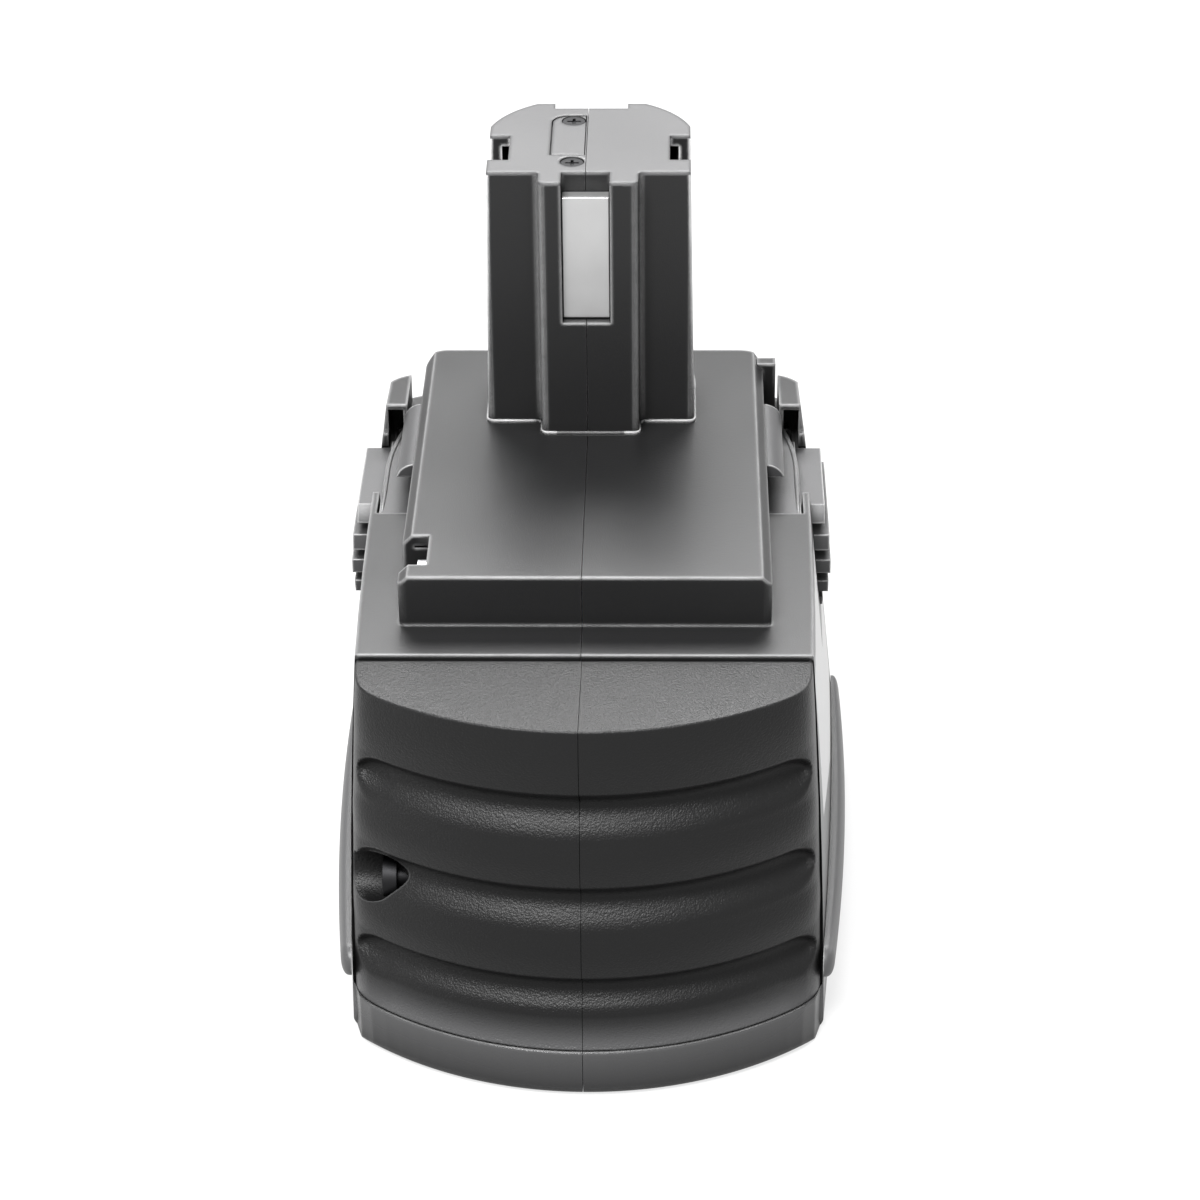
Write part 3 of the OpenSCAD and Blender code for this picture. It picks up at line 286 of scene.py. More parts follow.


def plastic(name, colour, edge_highlight_colour, roughness, grains, depth, edge=0.00035, specular=0.5,
            painted_sheen=(), high_edge_highlight=None):
    """Moulded plastic: rounded edges, grain, a painted highlight on outer edges and a slight
    drift of colour. Each band of painted sheen is (z where it starts, z where it is full, z where
    it stops, colour, how much smoother): a height painted paler, with lower roughness. The last
    argument is (z, x, colour): edges above z and farther than x to the side get a brighter
    painted highlight.
    Holes and gaps get painted shade and are duller."""
    made = new_material(name, roughness)
    tree, shader = made.node_tree, shader_of(made)
    place = object_place(tree)
    rounded = add(tree, "Bevel", samples=6)
    rounded.inputs["Radius"].default_value = edge
    painted_edges = add(tree, "Group", node_tree=edge_group)
    tree.links.new(rounded.outputs["Normal"], painted_edges.inputs["Rounded"])
    tree.links.new(place, painted_edges.inputs["Place"])
    grain = add(tree, "Group", node_tree=grain_group)
    grain.inputs["Grains per metre"].default_value = grains
    tree.links.new(place, grain.inputs["Place"])
    bump = add(tree, "Bump")
    bump.inputs["Distance"].default_value = depth
    bump.inputs["Strength"].default_value = 1.0
    tree.links.new(grain.outputs["Height"], bump.inputs["Height"])
    tree.links.new(painted_edges.outputs["Smooth"], bump.inputs["Normal"])
    tree.links.new(bump.outputs["Normal"], shader.inputs["Normal"])
    colour_now = mixed(tree, grain.outputs["Cloud"], [c * DRIFT[0] for c in colour],
                       [c * DRIFT[1] for c in colour])
    # painted highlight: the lighter edge colour is laid on outer edges
    colour_now = laid_over(tree, painted_edges.outputs["Mask"], colour_now, edge_highlight_colour)
    dull = maths(tree, "ADD", maths(tree, "MULTIPLY", grain.outputs["Cloud"], SPREAD),
                 roughness - SPREAD / 2)
    split = add(tree, "SeparateXYZ")
    tree.links.new(place, split.inputs[0])
    # a brighter painted highlight on edges above a height and away from the middle
    if high_edge_highlight:
        high = maths(tree, "GREATER_THAN", split.outputs["Z"], high_edge_highlight[0])
        beside = maths(tree, "GREATER_THAN", maths(tree, "ABSOLUTE", split.outputs["X"]),
                       high_edge_highlight[1])
        high_edge_paint = maths(tree, "MULTIPLY", maths(tree, "MULTIPLY", high, beside),
                         painted_edges.outputs["Mask"])
        colour_now = laid_over(tree, high_edge_paint, colour_now, high_edge_highlight[2])
    # painted sheen: each band is painted paler, rising from its start to full, and made smoother
    for (z_from, z_full, z_end, sheen_colour, smoother) in painted_sheen:
        rise = maths(tree, "MULTIPLY", maths(tree, "SUBTRACT", split.outputs["Z"], z_from),
                     1 / (z_full - z_from), clamp=True)
        sheen_zone = maths(tree, "MULTIPLY", rise, maths(tree, "LESS_THAN", split.outputs["Z"], z_end))
        colour_now = laid_over(tree, sheen_zone, colour_now, sheen_colour)
        dull = maths(tree, "SUBTRACT", dull, maths(tree, "MULTIPLY", sheen_zone, smoother))
    # painted shade: where a place is shut in, a darker colour is laid on and the roughness raised
    shut = maths(tree, "SUBTRACT", 1.0, painted_edges.outputs["Open"])
    colour_now = laid_over(tree, shut, colour_now, [c * GAP_SHADE for c in colour])
    tree.links.new(colour_now, shader.inputs["Base Color"])
    tree.links.new(maths(tree, "ADD", dull, maths(tree, "MULTIPLY", shut, GAP_DULL)),
                   shader.inputs["Roughness"])
    shader.inputs["Specular IOR Level"].default_value = specular
    return made


print("plastic makes a material from a colour, an edge colour and a grain")

# %% Plastic finishes
BAND_FROM, BAND_TOP = 0.0005, 0.0094   # the band round the foot, in metres above the floor
STEM_FROM, STEM_TOP = 0.0838, 0.1318   # the stem, from just above the platform to its flat top
TOP_SHARE = 0.0001                     # the flat top is told from the sides within this
SLOT_SIDE = 0.006                      # the slot's own edges lie nearer to the middle than this
FOOT_TOP, FOOT_FULL = 0.016, 0.0105    # the foot of the grip is painted paler downwards, a painted sheen
ANY_HEIGHT = 1.0
# The second colour of each plastic is a painted highlight on its outer edges.
finish = {
    # the case: near-white painted highlight on the stem's edges away from the slot; the band
    # round the foot painted paler upwards and the stem's flat top paler, both painted sheen
    "case": plastic("case_black", (0.008, 0.008, 0.0083), (0.2, 0.2, 0.201), 0.34, 4200,
                    0.00003, edge=0.001, specular=0.32,
                    painted_sheen=[(BAND_FROM, BAND_TOP, BAND_TOP, (0.05, 0.05, 0.051), 0.1),
                          (STEM_TOP - TOP_SHARE, STEM_TOP, ANY_HEIGHT, (0.06, 0.06, 0.061), 0.0)],
                    high_edge_highlight=(STEM_FROM, SLOT_SIDE, (0.8, 0.8, 0.802))),
    # the grip: its foot is painted paler downwards, a painted sheen, and its edges get a faint
    # painted highlight
    "grip": plastic("grip_black", (0.004, 0.004, 0.0041), (0.05, 0.05, 0.051), 0.4, 3200, 0.00016,
                    specular=0.2,
                    painted_sheen=[(FOOT_TOP, FOOT_FULL, ANY_HEIGHT, (0.05, 0.05, 0.051), 0.08)]),
    "bumper": plastic("bumper_grey", (0.045, 0.045, 0.046), (0.3, 0.3, 0.3), 0.4, 2800, 0.00003,
                      specular=0.35),
    "latch": plastic("latch_grey", (0.032, 0.032, 0.033), (0.34, 0.34, 0.34), 0.4, 2800, 0.00003,
                     edge=0.0005, specular=0.35),
    "label": plastic("label_film", (0.5, 0.5, 0.5), (0.54, 0.54, 0.54), 0.45, 900, 0.000005,
                     edge=0.0001, specular=0.2),
    "inner_plastic": plastic("inner_plastic", (0.02, 0.02, 0.02), (0.1, 0.1, 0.1), 0.5, 2200,
                             0.00003, specular=0.25),
}
print("plastics:", sorted(finish))

# %% [markdown]
# ## Metals
# Contacts are nickel-plated strip: bright, with faint lines along the stem from the rolling.
# Screws are zinc plated and duller. An anisotropic shader draws such lines too, but an exported
# model may lose it. So a noise that is squeezed in two directions changes roughness and bump.

# %% Metal finishes
TARNISH = 0.82                       # the darkest patches, as a share of the colour
SPOT_SCALE, SPOT_DULL = 120.0, 0.12  # patches per metre, and how far they dull the metal
LINE_DEPTH, LINE_DULL = 0.00001, 0.12
MEAN_DULL = 0.1                      # about what the lines and patches add, taken off again
METAL_EDGE = 0.0002                  # radius of the rounded normal


def metal(name, colour, roughness, stretch, metallic=1.0):
    """Metal with fine lines: a noise squeezed across the direction of rolling."""
    made = new_material(name, roughness)
    tree, shader = made.node_tree, shader_of(made)
    place = object_place(tree)
    squeeze = add(tree, "Mapping")
    squeeze.inputs["Scale"].default_value = stretch
    tree.links.new(place, squeeze.inputs["Vector"])
    lines = noise(tree, squeeze.outputs["Vector"], 1.0, 3.0, 0.6)
    spots = noise(tree, place, SPOT_SCALE, 3.0)
    rounded = add(tree, "Bevel", samples=6)
    rounded.inputs["Radius"].default_value = METAL_EDGE
    bump = add(tree, "Bump")
    bump.inputs["Distance"].default_value = LINE_DEPTH
    tree.links.new(lines, bump.inputs["Height"])
    tree.links.new(rounded.outputs["Normal"], bump.inputs["Normal"])
    tree.links.new(bump.outputs["Normal"], shader.inputs["Normal"])
    tree.links.new(mixed(tree, spots, [c * TARNISH for c in colour], colour),
                   shader.inputs["Base Color"])
    dull = maths(tree, "ADD", maths(tree, "MULTIPLY", lines, LINE_DULL),
                 maths(tree, "MULTIPLY", spots, SPOT_DULL))
    tree.links.new(maths(tree, "ADD", dull, roughness - MEAN_DULL), shader.inputs["Roughness"])
    shader.inputs["Metallic"].default_value = metallic
    return made


finish["contacts"] = metal("contact_nickel", (0.55, 0.55, 0.55), 0.32, (4200, 4200, 160),
                           metallic=0.8)
finish["screws"] = metal("zinc_screws", (0.42, 0.42, 0.43), 0.38, (500, 500, 500))
finish["black_screws"] = metal("black_oxide_screws", (0.02, 0.02, 0.021), 0.55, (500, 500, 500))
finish["spring"] = metal("spring_wire", (0.55, 0.55, 0.56), 0.3, (300, 2500, 2500))
finish["nickel"] = metal("nickel_strip", (0.6, 0.58, 0.54), 0.34, (160, 3000, 3000))
print("metals:", [finish[slot].name for slot in ("contacts", "screws", "black_screws", "spring",
                                                 "nickel")])

# %% [markdown]
# ## Soft and thin finishes
# Inside lie shrink-wrapped cells, foam, a sheet of fish paper and insulated leads. Each could
# have a material of its own kind, but they hardly show. So one function makes them all, and its
# noise gives a sleeve faint wrinkles, foam its pores and paper its fibres.

# %% Sleeve, foam, card and wire finishes
def simple(name, low, high, roughness, scale, depth, stretch=(1, 1, 1), coat=0.0):
    """A noise that shades the colour between low and high and lifts the surface."""
    made = new_material(name, roughness)
    tree, shader = made.node_tree, shader_of(made)
    squeeze = add(tree, "Mapping")
    squeeze.inputs["Scale"].default_value = stretch
    tree.links.new(object_place(tree), squeeze.inputs["Vector"])
    pattern = noise(tree, squeeze.outputs["Vector"], scale, 4.0, 0.6)
    tree.links.new(mixed(tree, pattern, low, high), shader.inputs["Base Color"])
    bump = add(tree, "Bump")
    bump.inputs["Distance"].default_value = depth
    tree.links.new(pattern, bump.inputs["Height"])
    tree.links.new(bump.outputs["Normal"], shader.inputs["Normal"])
    shader.inputs["Coat Weight"].default_value = coat
    return made


finish["cells"] = simple("cell_sleeve", (0.03, 0.1, 0.24), (0.05, 0.15, 0.32), 0.3, 260, 0.00004,
                         (1, 1, 0.2), 0.2)
finish["foam"] = simple("foam", (0.03, 0.03, 0.03), (0.08, 0.08, 0.08), 0.9, 1500, 0.0003)
finish["card"] = simple("fish_paper", (0.45, 0.4, 0.28), (0.58, 0.53, 0.4), 0.75, 900, 0.00003,
                        (1, 0.2, 1))
finish["red_lead"] = simple("red_wire", (0.4, 0.02, 0.015), (0.5, 0.03, 0.02), 0.4, 700, 0.00002)
finish["black_lead"] = simple("black_wire", (0.02, 0.02, 0.02), (0.035, 0.035, 0.035), 0.4, 700,
                              0.00002)
print("materials in all:", len(finish))

# %% Give each CAD node its finish
slot_of = {s["node"]: s["material_slot"] for s in frame["record"]["subparts"]}
for name, node in nodes.items():
    if not node.material_slots:
        node.data.materials.append(None)
    for place in node.material_slots:
        place.material = finish[slot_of[name]]
print("dressed", len(nodes), "nodes")

# %% [markdown]
# ## The grip
# The grip is a moulded shell, one half on each side of the seam, with three finger grooves. It
# could be sculpted, or cut from a block with curved tools, but then its halves would hardly meet
# at the seam. So it is a sweep: a profile that goes up the outside, over the flat top and down
# the inside is turned about an upright axis behind the grip. How far each point stands from that
# axis changes with the angle, because the bowed front has to blend into the sides.

# %% Outline of the grip
FRONT_R = 60.2          # radius of the bowed front
FRONT_C = -58 + FRONT_R  # the upright axis is this far to the rear
LINE_Y = -36.15         # where the grip meets the shoulder
NOSE_TOP = 73.6
GRIP_Z0 = 9.55
GRIP_T = 4.4
LENS_T = 2.0
CROWN = 0.5
GROOVE_TOP, GROOVE_PITCH, GROOVE_H, GROOVE_D = 61.6, 18.4, 10.0, 3.2
SCOOP_END = 0.2         # how far a groove ends inside of the corner
SCOOP_SKEW = 0.72       # 1 puts the deepest place in the middle of the groove
COVE_D, COVE_H = 1.0, 8.0  # the grip flares out again towards its foot
COVE_X, COVE_FADE = 38, 4  # and that flare fades away before the corners
GROOVES = 3
CORNER_POWER = 30
SIDE_AT = LINE_Y - 4    # the body's half width at the corners is taken here
SHOULDER_H, SIDE_HALF, SIDE_Y = 74.4, 38.8, 18.75
FLARE_H, SIDE_FLARE, SIDE_SWEEP = 60.7, 7.0, 62   # the side moves out and back over this height
SIDE_BOW_R = 1400
print("grip from", GRIP_Z0, "to", NOSE_TOP, "mm, bowed to a radius of", FRONT_R, "mm")

# %% The side and the bow
def side_x(y, z):
    """Half width of the body: a parabola along Y whose top moves out and back on the way down."""
    t = (SHOULDER_H - z) / FLARE_H
    return SIDE_HALF + SIDE_FLARE * t - (y - SIDE_Y - SIDE_SWEEP * t) ** 2 / (2 * SIDE_BOW_R)


def blend_r(angle, bow, half_width):
    """Distance from the axis: the bow or the side, whichever is nearer, joined smoothly."""
    side = half_width / np.maximum(np.abs(np.sin(angle)), 1e-9)
    return (bow ** -CORNER_POWER + side ** -CORNER_POWER) ** (-1 / CORNER_POWER)


print("half width at the shoulder and at the foot:", round(side_x(LINE_Y, NOSE_TOP), 1),
      round(side_x(LINE_Y, GRIP_Z0), 1))

# %% Finger grooves
def scoop(x, z, top):
    """Depth of one finger groove: a band with round ends that reach almost to the corners. Down
    the band the depth follows a squared sine whose peak lies above the middle, so its upper side
    turns under the pad and its lower side slopes gently out."""
    half = GROOVE_H / 2
    reach = side_x(SIDE_AT, top - half) - SCOOP_END
    beyond = np.clip((np.abs(x) - (reach - half)) / half, 0, 1)
    end = np.sqrt(1 - beyond ** 2)
    v = (top - half - z) / (half * np.maximum(end, 1e-3))
    s = np.clip((1 + v) / 2, 0, 1)
    return GROOVE_D * end ** 0.8 * np.sin(np.pi * s ** SCOOP_SKEW) ** 2


def pad_bulge(z):
    """Half a sine wave over each pad, from one groove's foot to the next one's top."""
    edges = [(NOSE_TOP, GROOVE_TOP)]
    edges += [(GROOVE_TOP - GROOVE_H - GROOVE_PITCH * n, GROOVE_TOP - GROOVE_PITCH * (n + 1))
              for n in range(GROOVES - 1)]
    bulge = 0 * z
    for high, low in edges:
        part = np.clip((high - z) / (high - low), 0, 1)
        bulge = bulge + CROWN * np.sin(np.pi * part)
    return bulge


print("deepest place of the top groove:", round(float(scoop(0, np.linspace(
    GROOVE_TOP - GROOVE_H, GROOVE_TOP, 101), GROOVE_TOP).max()), 2), "mm")

# %% Front of the grip
def grip_radius(angle, z):
    """The bow with its bulges, blended into the side, less the grooves and the cove."""
    x = FRONT_R * np.sin(angle)
    smooth = blend_r(angle, FRONT_R - CROWN + pad_bulge(z), side_x(SIDE_AT, z))
    depth = sum(scoop(x, z, GROOVE_TOP - GROOVE_PITCH * n) for n in range(GROOVES))
    low = np.clip((z - GRIP_Z0) / COVE_H, 0, 1)
    fade = np.clip((COVE_X - np.abs(x)) / COVE_FADE, 0, 1)
    return smooth - depth - COVE_D * np.sin(np.pi * low ** 0.8) * fade


CORNER_X = side_x(SIDE_AT, NOSE_TOP)
GRIP_ANGLE = math.atan(side_x(LINE_Y, NOSE_TOP) / (FRONT_C - LINE_Y))
print("grip turns", round(math.degrees(GRIP_ANGLE), 1), "degrees each way")

# %% Helpers for surfaces
SMOOTH_ANGLE = 35   # faces that meet at more degrees than this keep a sharp edge


def mesh_piece(name, points, faces, angle=SMOOTH_ANGLE):
    """A mesh in metres from points in millimetres, smooth except where faces meet sharply."""
    mesh = bpy.data.meshes.new(name)
    mesh.from_pydata((np.asarray(points, float) * MM).tolist(), [], faces)
    mesh.validate()
    mesh.polygons.foreach_set("use_smooth", np.ones(len(mesh.polygons), bool))
    mesh.set_sharp_from_angle(angle=math.radians(angle))
    piece = bpy.data.objects.new(name, mesh)
    bpy.context.scene.collection.objects.link(piece)
    return piece


def ring_faces(rows, count):
    """Quads that join neighbouring rings. Point k of ring i has the number i * count + k, and
    each quad takes points k and k + 1 of rings i and i + 1, where the last k joins the first."""
    k = np.arange(count)
    i = np.arange(rows - 1)[:, None]
    n = (k + 1) % count
    quads = np.stack([i * count + k, (i + 1) * count + k, (i + 1) * count + n, i * count + n], -1)
    return quads.reshape(-1, 4)


def point_outwards(piece):
    """Turns the faces of a closed mesh outwards when its volume comes out negative."""
    mesh = piece.data
    mesh.calc_loop_triangles()
    co = np.empty(len(mesh.vertices) * 3)
    mesh.vertices.foreach_get("co", co)
    corner = np.empty(len(mesh.loop_triangles) * 3, int)
    mesh.loop_triangles.foreach_get("vertices", corner)
    tri = co.reshape(-1, 3)[corner.reshape(-1, 3)]
    volume = np.einsum("ij,ij->i", tri[:, 0], np.cross(tri[:, 1], tri[:, 2])).sum() / 6
    if volume < 0:
        mesh.flip_normals()
    return abs(volume)


print("ready:", ", ".join(helper.__name__ for helper in (mesh_piece, ring_faces, point_outwards)))

# %% Surface of the grip
LEVELS, ROUNDING, STEPS = 170, 6, 100   # points up the outside, round the edge, and rings
EDGE_R = 0.4                            # radius of the edge round the flat top
LENS_IN = 0.3                           # the flat top is nowhere narrower than this


def grip_half(sign):
    """Rings of the grip's profile at angles from the seam to the side. Each ring: levels up the
    outside, a rounded top edge, the flat top, and the same levels down the inside."""
    start = math.asin((sign * SEAM_X + SEAM_GAP / 2) / FRONT_R)
    angle = start + (GRIP_ANGLE - start) * np.linspace(0, 1, STEPS) ** 0.9
    z_out = np.linspace(GRIP_Z0, NOSE_TOP - EDGE_R, LEVELS)
    a, z = np.meshgrid(angle, z_out, indexing="ij")
    outer = grip_radius(a, z)
    bend = np.linspace(0, np.pi / 2, ROUNDING + 1)[1:]
    top_r = outer[:, -1:] - EDGE_R + EDGE_R * np.cos(bend)
    top_z = np.broadcast_to(NOSE_TOP - EDGE_R + EDGE_R * np.sin(bend), top_r.shape)
    inner = blend_r(angle, FRONT_R, CORNER_X) - GRIP_T
    lens = np.minimum((FRONT_C - LINE_Y) / np.cos(angle), top_r[:, -1] - LENS_IN)
    lens_r = np.stack([lens, lens], 1)
    lens_z = np.tile([NOSE_TOP, NOSE_TOP - LENS_T], (STEPS, 1))
    in_count = LEVELS + ROUNDING
    in_z = np.linspace(NOSE_TOP - LENS_T, GRIP_Z0, in_count)
    in_r = np.repeat(inner[:, None], in_count, 1)
    r = np.concatenate([outer, top_r, lens_r, in_r], 1)
    zz = np.concatenate([z, top_z, lens_z, np.tile(in_z, (STEPS, 1))], 1)
    count = r.shape[1]
    x = sign * r * np.sin(angle)[:, None]
    y = FRONT_C - r * np.cos(angle)[:, None]
    points = np.stack([x, y, zz], -1).reshape(-1, 3)
    faces = ring_faces(STEPS, count)
    k = np.arange(in_count - 1)
    cap = np.stack([k, k + 1, count - 2 - k, count - 1 - k], -1)
    caps = np.concatenate([cap, cap[:, ::-1] + (STEPS - 1) * count])
    ends = [[in_count - 1, in_count, in_count + 1, in_count + 2]]
    ends.append([v + (STEPS - 1) * count for v in ends[0]][::-1])
    every = faces.tolist() + caps.tolist() + ends
    return points, every if sign > 0 else [f[::-1] for f in every]


print("grip:", STEPS, "rings of", 2 * (LEVELS + ROUNDING) + 2, "points")

# %% The two grips
SCREW_HOLE_R = 4.3
SCREW_HOLE_AT = (-0.045, -0.0432, 0.0353)   # middle of the drilled hole, in metres
for side, sign in (("left", -1), ("right", 1)):
    grip = mesh_piece(side + "_grip_surface", *grip_half(sign))
    print(grip.name, len(grip.data.polygons), "faces", round(point_outwards(grip) * 1e6, 1), "ml")
    grip.data.materials.append(finish["grip"])
    if sign < 0:
        bpy.ops.mesh.primitive_cylinder_add(vertices=96, radius=SCREW_HOLE_R * MM, depth=0.04,
                                            location=SCREW_HOLE_AT,
                                            rotation=(0, math.pi / 2, 0))
        drill = bpy.context.object
        hole = grip.modifiers.new("screw_hole", "BOOLEAN")
        hole.object = drill
        hole.solver = "EXACT"
        bpy.context.view_layer.update()
        done = bpy.data.meshes.new_from_object(
            grip.evaluated_get(bpy.context.evaluated_depsgraph_get()))
        grip.modifiers.clear()
        grip.data = done
        bpy.data.objects.remove(drill)
        done.set_sharp_from_angle(angle=math.radians(SMOOTH_ANGLE))
    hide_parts(side + "_grip")
    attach(grip, "pack")

# %% [markdown]
# ## Side bumpers
# Each bumper is a bar along the side with a round back and round ends, so it can rub along a
# bench without catching. A bevelled box bent along a curve would come near, but its back would
# not follow the flare of the body. So sections are worked out along the side: each is a D, flat
# against the body and boxy but rounded outside, and it shrinks towards both ends.

# %% Surface of a bumper
BUMPER = dict(y0=-41.5, y1=51.0, z=14.5, half=3.0, vertex_y=35.0, out=1.8, swing=4.6, end=3.4,
              clear=0.05)


def bumper_surface(sign):
    """Sections along Y, closer together near the ends, where height and thickness both follow a
    quarter ellipse. The back of the D keeps clear of the side by a hair."""
    b = BUMPER
    steps, around, back = 130, 28, 8
    u = np.linspace(0, 1, steps)
    y = b["y0"] + (b["y1"] - b["y0"]) * (u - np.sin(2 * np.pi * u) / (2 * np.pi) * 0.75)
    bow = side_x(b["y0"], b["z"]) + b["out"] + b["swing"]
    bow = bow - b["swing"] * ((y - b["vertex_y"]) / (b["vertex_y"] - b["y0"])) ** 2
    proud = bow - side_x(y, b["z"])
    near = np.minimum(y - b["y0"], b["y1"] - y)
    end = np.sqrt(np.clip(1 - (1 - np.clip(near / b["end"], 0, 1)) ** 2, 0, 1))
    phi = np.linspace(-np.pi / 2, np.pi / 2, around)
    z = b["z"] + b["half"] * end[:, None] * np.sin(phi)
    out = b["clear"] + (proud * end)[:, None] * np.cos(phi) ** 0.5
    x = side_x(y[:, None], z) + out
    z_back = b["z"] + b["half"] * end[:, None] * np.linspace(0.98, -0.98, back)
    x_back = side_x(y[:, None], z_back) + b["clear"]
    points = np.stack([np.concatenate([x, x_back], 1) * sign,
                       np.repeat(y[:, None], around + back, 1), np.concatenate([z, z_back], 1)],
                      -1)
    return points.reshape(-1, 3), ring_faces(steps, around + back).tolist()


print("bumpers:", BUMPER["y1"] - BUMPER["y0"], "mm long,", 2 * BUMPER["half"], "mm high")

# %% Closing the ends
JOIN_WITHIN = 1e-6


def merged(piece):
    """Joins points that coincide, such as those of a closed end, and turns the faces alike."""
    shape = bmesh.new()
    shape.from_mesh(piece.data)
    bmesh.ops.remove_doubles(shape, verts=shape.verts, dist=JOIN_WITHIN)
    bmesh.ops.dissolve_degenerate(shape, dist=JOIN_WITHIN, edges=shape.edges)
    bmesh.ops.recalc_face_normals(shape, faces=shape.faces)
    shape.to_mesh(piece.data)
    shape.free()
    return piece


print("ends are closed by joining points that lie nearer than", JOIN_WITHIN * 1e3, "mm")

# %% The two bumpers
for side, sign in (("left", -1), ("right", 1)):
    bumper = merged(mesh_piece(side + "_bumper_bar", *bumper_surface(sign), angle=50))
    print(bumper.name, round(point_outwards(bumper) * 1e6, 2), "ml")
    bumper.data.materials.append(finish["bumper"])
    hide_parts(side + "_bumper")
    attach(bumper, "pack")

# %% [markdown]
# ## Small mouldings
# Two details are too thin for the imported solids: the fillet where the stem grows out of the
# platform, and the lip along the outer edge of each latch. A bevelled curve would make both, but
# its ends stay open or blunt. So a small profile is carried along a path as arrays, and shrinks
# to nothing at the path's ends.

# %% A profile along a path
def along_path(path, across, up, shrink):
    """Each point of the path gets the profile, its first number measured along the path's
    sideways normal (mitred at corners) and its second along Z."""
    path = np.asarray(path, float)
    step = np.diff(path[:, :2], axis=0)
    step /= np.linalg.norm(step, axis=1)[:, None]
    normal = np.stack([step[:, 1], -step[:, 0]], 1)
    before = np.vstack([normal[:1], normal])
    after = np.vstack([normal, normal[-1:]])
    mitre = before + after
    mitre /= np.maximum((mitre * before).sum(1), 1e-6)[:, None]
    size = np.asarray(shrink)[:, None]
    x = path[:, :1] + mitre[:, :1] * np.asarray(across) * size
    y = path[:, 1:2] + mitre[:, 1:] * np.asarray(across) * size
    z = path[:, 2:] + np.asarray(up) * size
    return np.stack([x, y, z], -1).reshape(-1, 3), ring_faces(len(path), len(across)).tolist()


def soft_ends(count, run_out=6):
    """1 along the path and a quarter circle down to 0 over the first and last points."""
    i = np.arange(count)
    near = np.minimum(i, count - 1 - i) / run_out
    return np.sqrt(np.clip(1 - (1 - np.clip(near, 0, 1)) ** 2, 1e-6, 1))


print("shrink towards an end:", np.round(soft_ends(14)[:7], 2))

# %% Fillet at the stem's foot
PLATFORM_TOP = 83.7
FILLET = 0.7
STEM_HALF, STEM_C, BACK_ANGLE = 18.4, 42.35, 48   # the round back: radius, centre, where it ends
STEM_Y1, CORNER_R = 28.2, 1.0                     # front of the stem beside the lobe
LOBE_HALF, STEM_Y0, HOLLOW_R = 8.6, 23.7, 0.9     # the lobe down the front
arc = np.linspace(math.radians(BACK_ANGLE), 0, 40)
right_arc = np.stack([STEM_HALF * np.cos(arc), STEM_C + STEM_HALF * np.sin(arc)], 1)
quarter = np.linspace(0, np.pi / 2, 7)
round_x, round_y = CORNER_R * np.cos(quarter), CORNER_R * (1 - np.sin(quarter))
outer = np.stack([STEM_HALF - CORNER_R + round_x, STEM_Y1 + round_y], 1)
hollow = np.stack([LOBE_HALF + HOLLOW_R * (1 - np.sin(quarter)),
                   STEM_Y1 - HOLLOW_R * (1 - np.cos(quarter))], 1)
lobe = np.stack([LOBE_HALF - CORNER_R + round_x, STEM_Y0 + round_y], 1)
right_side = [tuple(p) for p in np.concatenate([right_arc, outer, hollow, lobe])]
outline = right_side + [(-x, y) for x, y in right_side[::-1]]
outline = [(x, y, PLATFORM_TOP) for x, y in outline]
SUNK_IN, SUNK_DOWN = -0.3, -0.05   # the two hidden sides lie inside the stem and the platform
across = np.concatenate([FILLET * (1 - np.sin(quarter)), [SUNK_IN, SUNK_IN]])
up = np.concatenate([FILLET * (1 - np.cos(quarter)), [FILLET, SUNK_DOWN]])
fillet = merged(mesh_piece("stem_foot_fillet", *along_path(outline, across, up,
                                                           soft_ends(len(outline)))))
fillet.data.materials.append(finish["case"])
print("fillet", round(point_outwards(fillet) * 1e9, 1), "mm3")
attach(fillet, "pack")

# %% Lip on each latch
DECK_TOP = 74.0
DECK_X1, DECK_R = 37.2, 60                    # the deck's outer edge: straight, then an arc
LIP_Y0, DECK_BEND_Y, LIP_Y1 = 12.4, 28, 49.2  # the arc starts at the middle one
LIP_IN, LIP_HALF, LIP_H, LIP_SUNK = 0.45, 0.42, 0.35, 0.02
y_line = np.concatenate([np.linspace(LIP_Y0, DECK_BEND_Y, 12),
                         np.linspace(DECK_BEND_Y, LIP_Y1, 40)[1:]])
past_bend = np.maximum(y_line - DECK_BEND_Y, 0)
x_line = DECK_X1 - DECK_R + np.sqrt(DECK_R ** 2 - past_bend ** 2)
theta = np.linspace(0, np.pi, 9)
for side, sign in (("left", -1), ("right", 1)):
    edge = np.stack([sign * (x_line - LIP_IN), y_line, np.full_like(y_line, DECK_TOP)], 1)
    lip = merged(mesh_piece(side + "_latch_lip", *along_path(
        edge, LIP_HALF * np.cos(theta), LIP_H * np.sin(theta) - LIP_SUNK, soft_ends(len(edge)))))
    point_outwards(lip)
    lip.data.materials.append(finish["latch"])
    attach(lip, side + "_latch")
print("mouldings done")

# %% [markdown]
# ## Latch springs
# The coil behind each latch has to get shorter as the latch goes in. The Screw modifier turns a
# circle into a coil, but one whose ends don't lie flat. Here the wire is a tube carried along a
# helix, built at the length of the imported spring, and it moves with the pack.


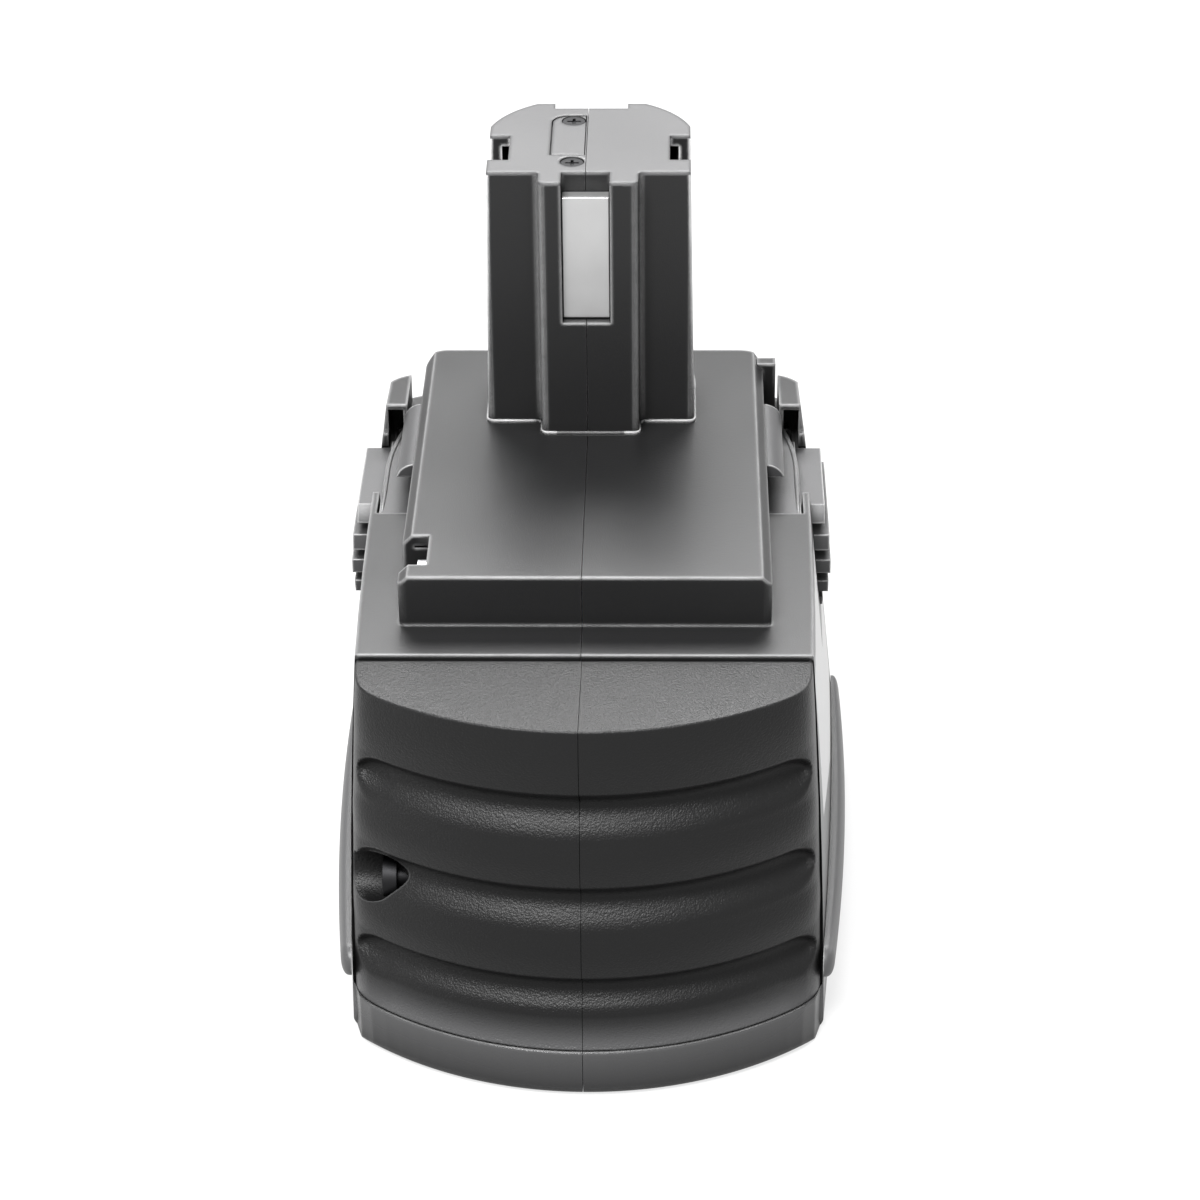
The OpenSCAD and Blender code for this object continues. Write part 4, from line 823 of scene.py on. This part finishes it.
def coil(low, high, turns=5, wire_r=0.4, around=12, per_turn=36, taper=0.03):
    """A tube along a helix about the X axis. The place along the axis grows with the turns, but
    stays still over the first and last half turn, so those lie flat. The ends taper to tips."""
    steps = turns * per_turn + 1
    t = np.linspace(0, turns, steps)
    rise = np.clip((t - 0.5) / (turns - 1), 0, 1)
    x = low[0] + wire_r + (high[0] - low[0] - 2 * wire_r) * rise
    centre_y, centre_z = (low[1] + high[1]) / 2, (low[2] + high[2]) / 2
    coil_r = (high[1] - low[1]) / 2 - wire_r
    a = 2 * np.pi * t[:, None]
    b = np.linspace(0, 2 * np.pi, around, endpoint=False)
    tip = np.sqrt(np.clip(np.minimum(t, turns - t) / taper, 1e-4, 1))[:, None]
    q = coil_r + wire_r * tip * np.cos(b)
    points = np.stack([x[:, None] + wire_r * tip * np.sin(b), centre_y + q * np.cos(a),
                       centre_z + q * np.sin(a)], -1)
    faces = ring_faces(steps, around).tolist()
    faces += [list(range(around)), list(range((steps - 1) * around, steps * around))[::-1]]
    return points.reshape(-1, 3), faces


# %% The two springs
for side, sign in (("left", -1), ("right", 1)):
    low, high = (np.array(corner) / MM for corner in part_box(side + "_latch_spring"))
    wire = merged(mesh_piece(side + "_spring_wire", *coil(low, high), angle=60))
    print(wire.name, round(point_outwards(wire) * 1e9, 1), "mm3, length",
          round(high[0] - low[0], 2))
    wire.data.materials.append(finish["spring"])
    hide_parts(side + "_latch_spring")
    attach(wire, "pack")
    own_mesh(wire)

# %% [markdown]
# ## Floor and light
# A product photograph like this is taken on white, with one big soft light behind and above,
# whose reflection makes the tops pale, and one in front and above, which draws the lower slopes
# of the finger grooves. Two weak ones at the sides lift the edges. The floor glows a little and
# is lit for the rest, the same for every ray, so it is nearly white and keeps a soft shadow.

# %% Floor
HALF = 6                  # half of the floor's side, in metres
GLOW, GREY = 0.74, 0.13   # the floor's own light and the share that it throws back
floor_mesh = bpy.data.meshes.new("floor")
floor_mesh.from_pydata([(-HALF, -HALF, 0), (HALF, -HALF, 0), (HALF, HALF, 0), (-HALF, HALF, 0)],
                       [], [(0, 1, 2, 3)])
floor = bpy.data.objects.new("floor", floor_mesh)
bpy.context.scene.collection.objects.link(floor)
floor_finish = bpy.data.materials.new("pale_floor")
floor_finish.use_nodes = True
tree = floor_finish.node_tree
tree.nodes.remove(shader_of(floor_finish))
glow = add(tree, "Emission")
glow.inputs["Strength"].default_value = GLOW
lit = add(tree, "BsdfDiffuse")
lit.inputs["Color"].default_value = (GREY, GREY, GREY, 1)
both = add(tree, "AddShader")
tree.links.new(glow.outputs[0], both.inputs[0])
tree.links.new(lit.outputs[0], both.inputs[1])
output = next(n for n in tree.nodes if n.type == "OUTPUT_MATERIAL")
tree.links.new(both.outputs[0], output.inputs["Surface"])
floor_mesh.materials.append(floor_finish)
print("floor glows", GLOW, "and throws back", GREY)

# %% World
SKY, WHITE = 0.3, 1.0   # what lights the pack, and what is seen directly or in a reflection
world = bpy.data.worlds.new("studio")
world.use_nodes = True
bpy.context.scene.world = world
sky = world.node_tree
background = next(n for n in sky.nodes if n.type == "BACKGROUND")
background.inputs["Color"].default_value = (1, 1, 1, 1)
path = add(sky, "LightPath")
mirrored = maths(sky, "MAXIMUM", path.outputs["Is Glossy Ray"],
                 path.outputs["Is Transmission Ray"])
showing = maths(sky, "MAXIMUM", path.outputs["Is Camera Ray"], mirrored)
strength = maths(sky, "ADD", maths(sky, "MULTIPLY", showing, WHITE - SKY), SKY)
sky.links.new(strength, background.inputs["Strength"])
print("world:", SKY, "for light and", WHITE, "where it shows")

# %% Lamps
def softbox(name, place, target, width, height, power):
    """A rectangular lamp at place that faces target, in metres and watts."""
    lamp = bpy.data.lights.new(name, "AREA")
    lamp.shape = "RECTANGLE"
    lamp.size, lamp.size_y, lamp.energy = width, height, power
    made = bpy.data.objects.new(name, lamp)
    made.location = place
    direction = Vector(target) - Vector(place)
    made.rotation_euler = direction.to_track_quat("-Z", "Y").to_euler()
    bpy.context.scene.collection.objects.link(made)
    return made


softbox("back_light", (0.0, 0.57, 0.82), (0, 0, 0.09), 0.8, 0.35, 25)
softbox("left_light", (-0.6, -0.22, 0.05), (0, 0, 0.045), 0.3, 0.08, 0.5)
softbox("right_light", (0.9, 0.45, 0.25), (0.04, 0, 0.05), 0.5, 0.5, 2.5)
softbox("top_light", (-0.15, -0.5, 0.86), (0, -0.03, 0.05), 0.4, 0.3, 24)
bpy.context.scene.view_settings.view_transform = "Standard"
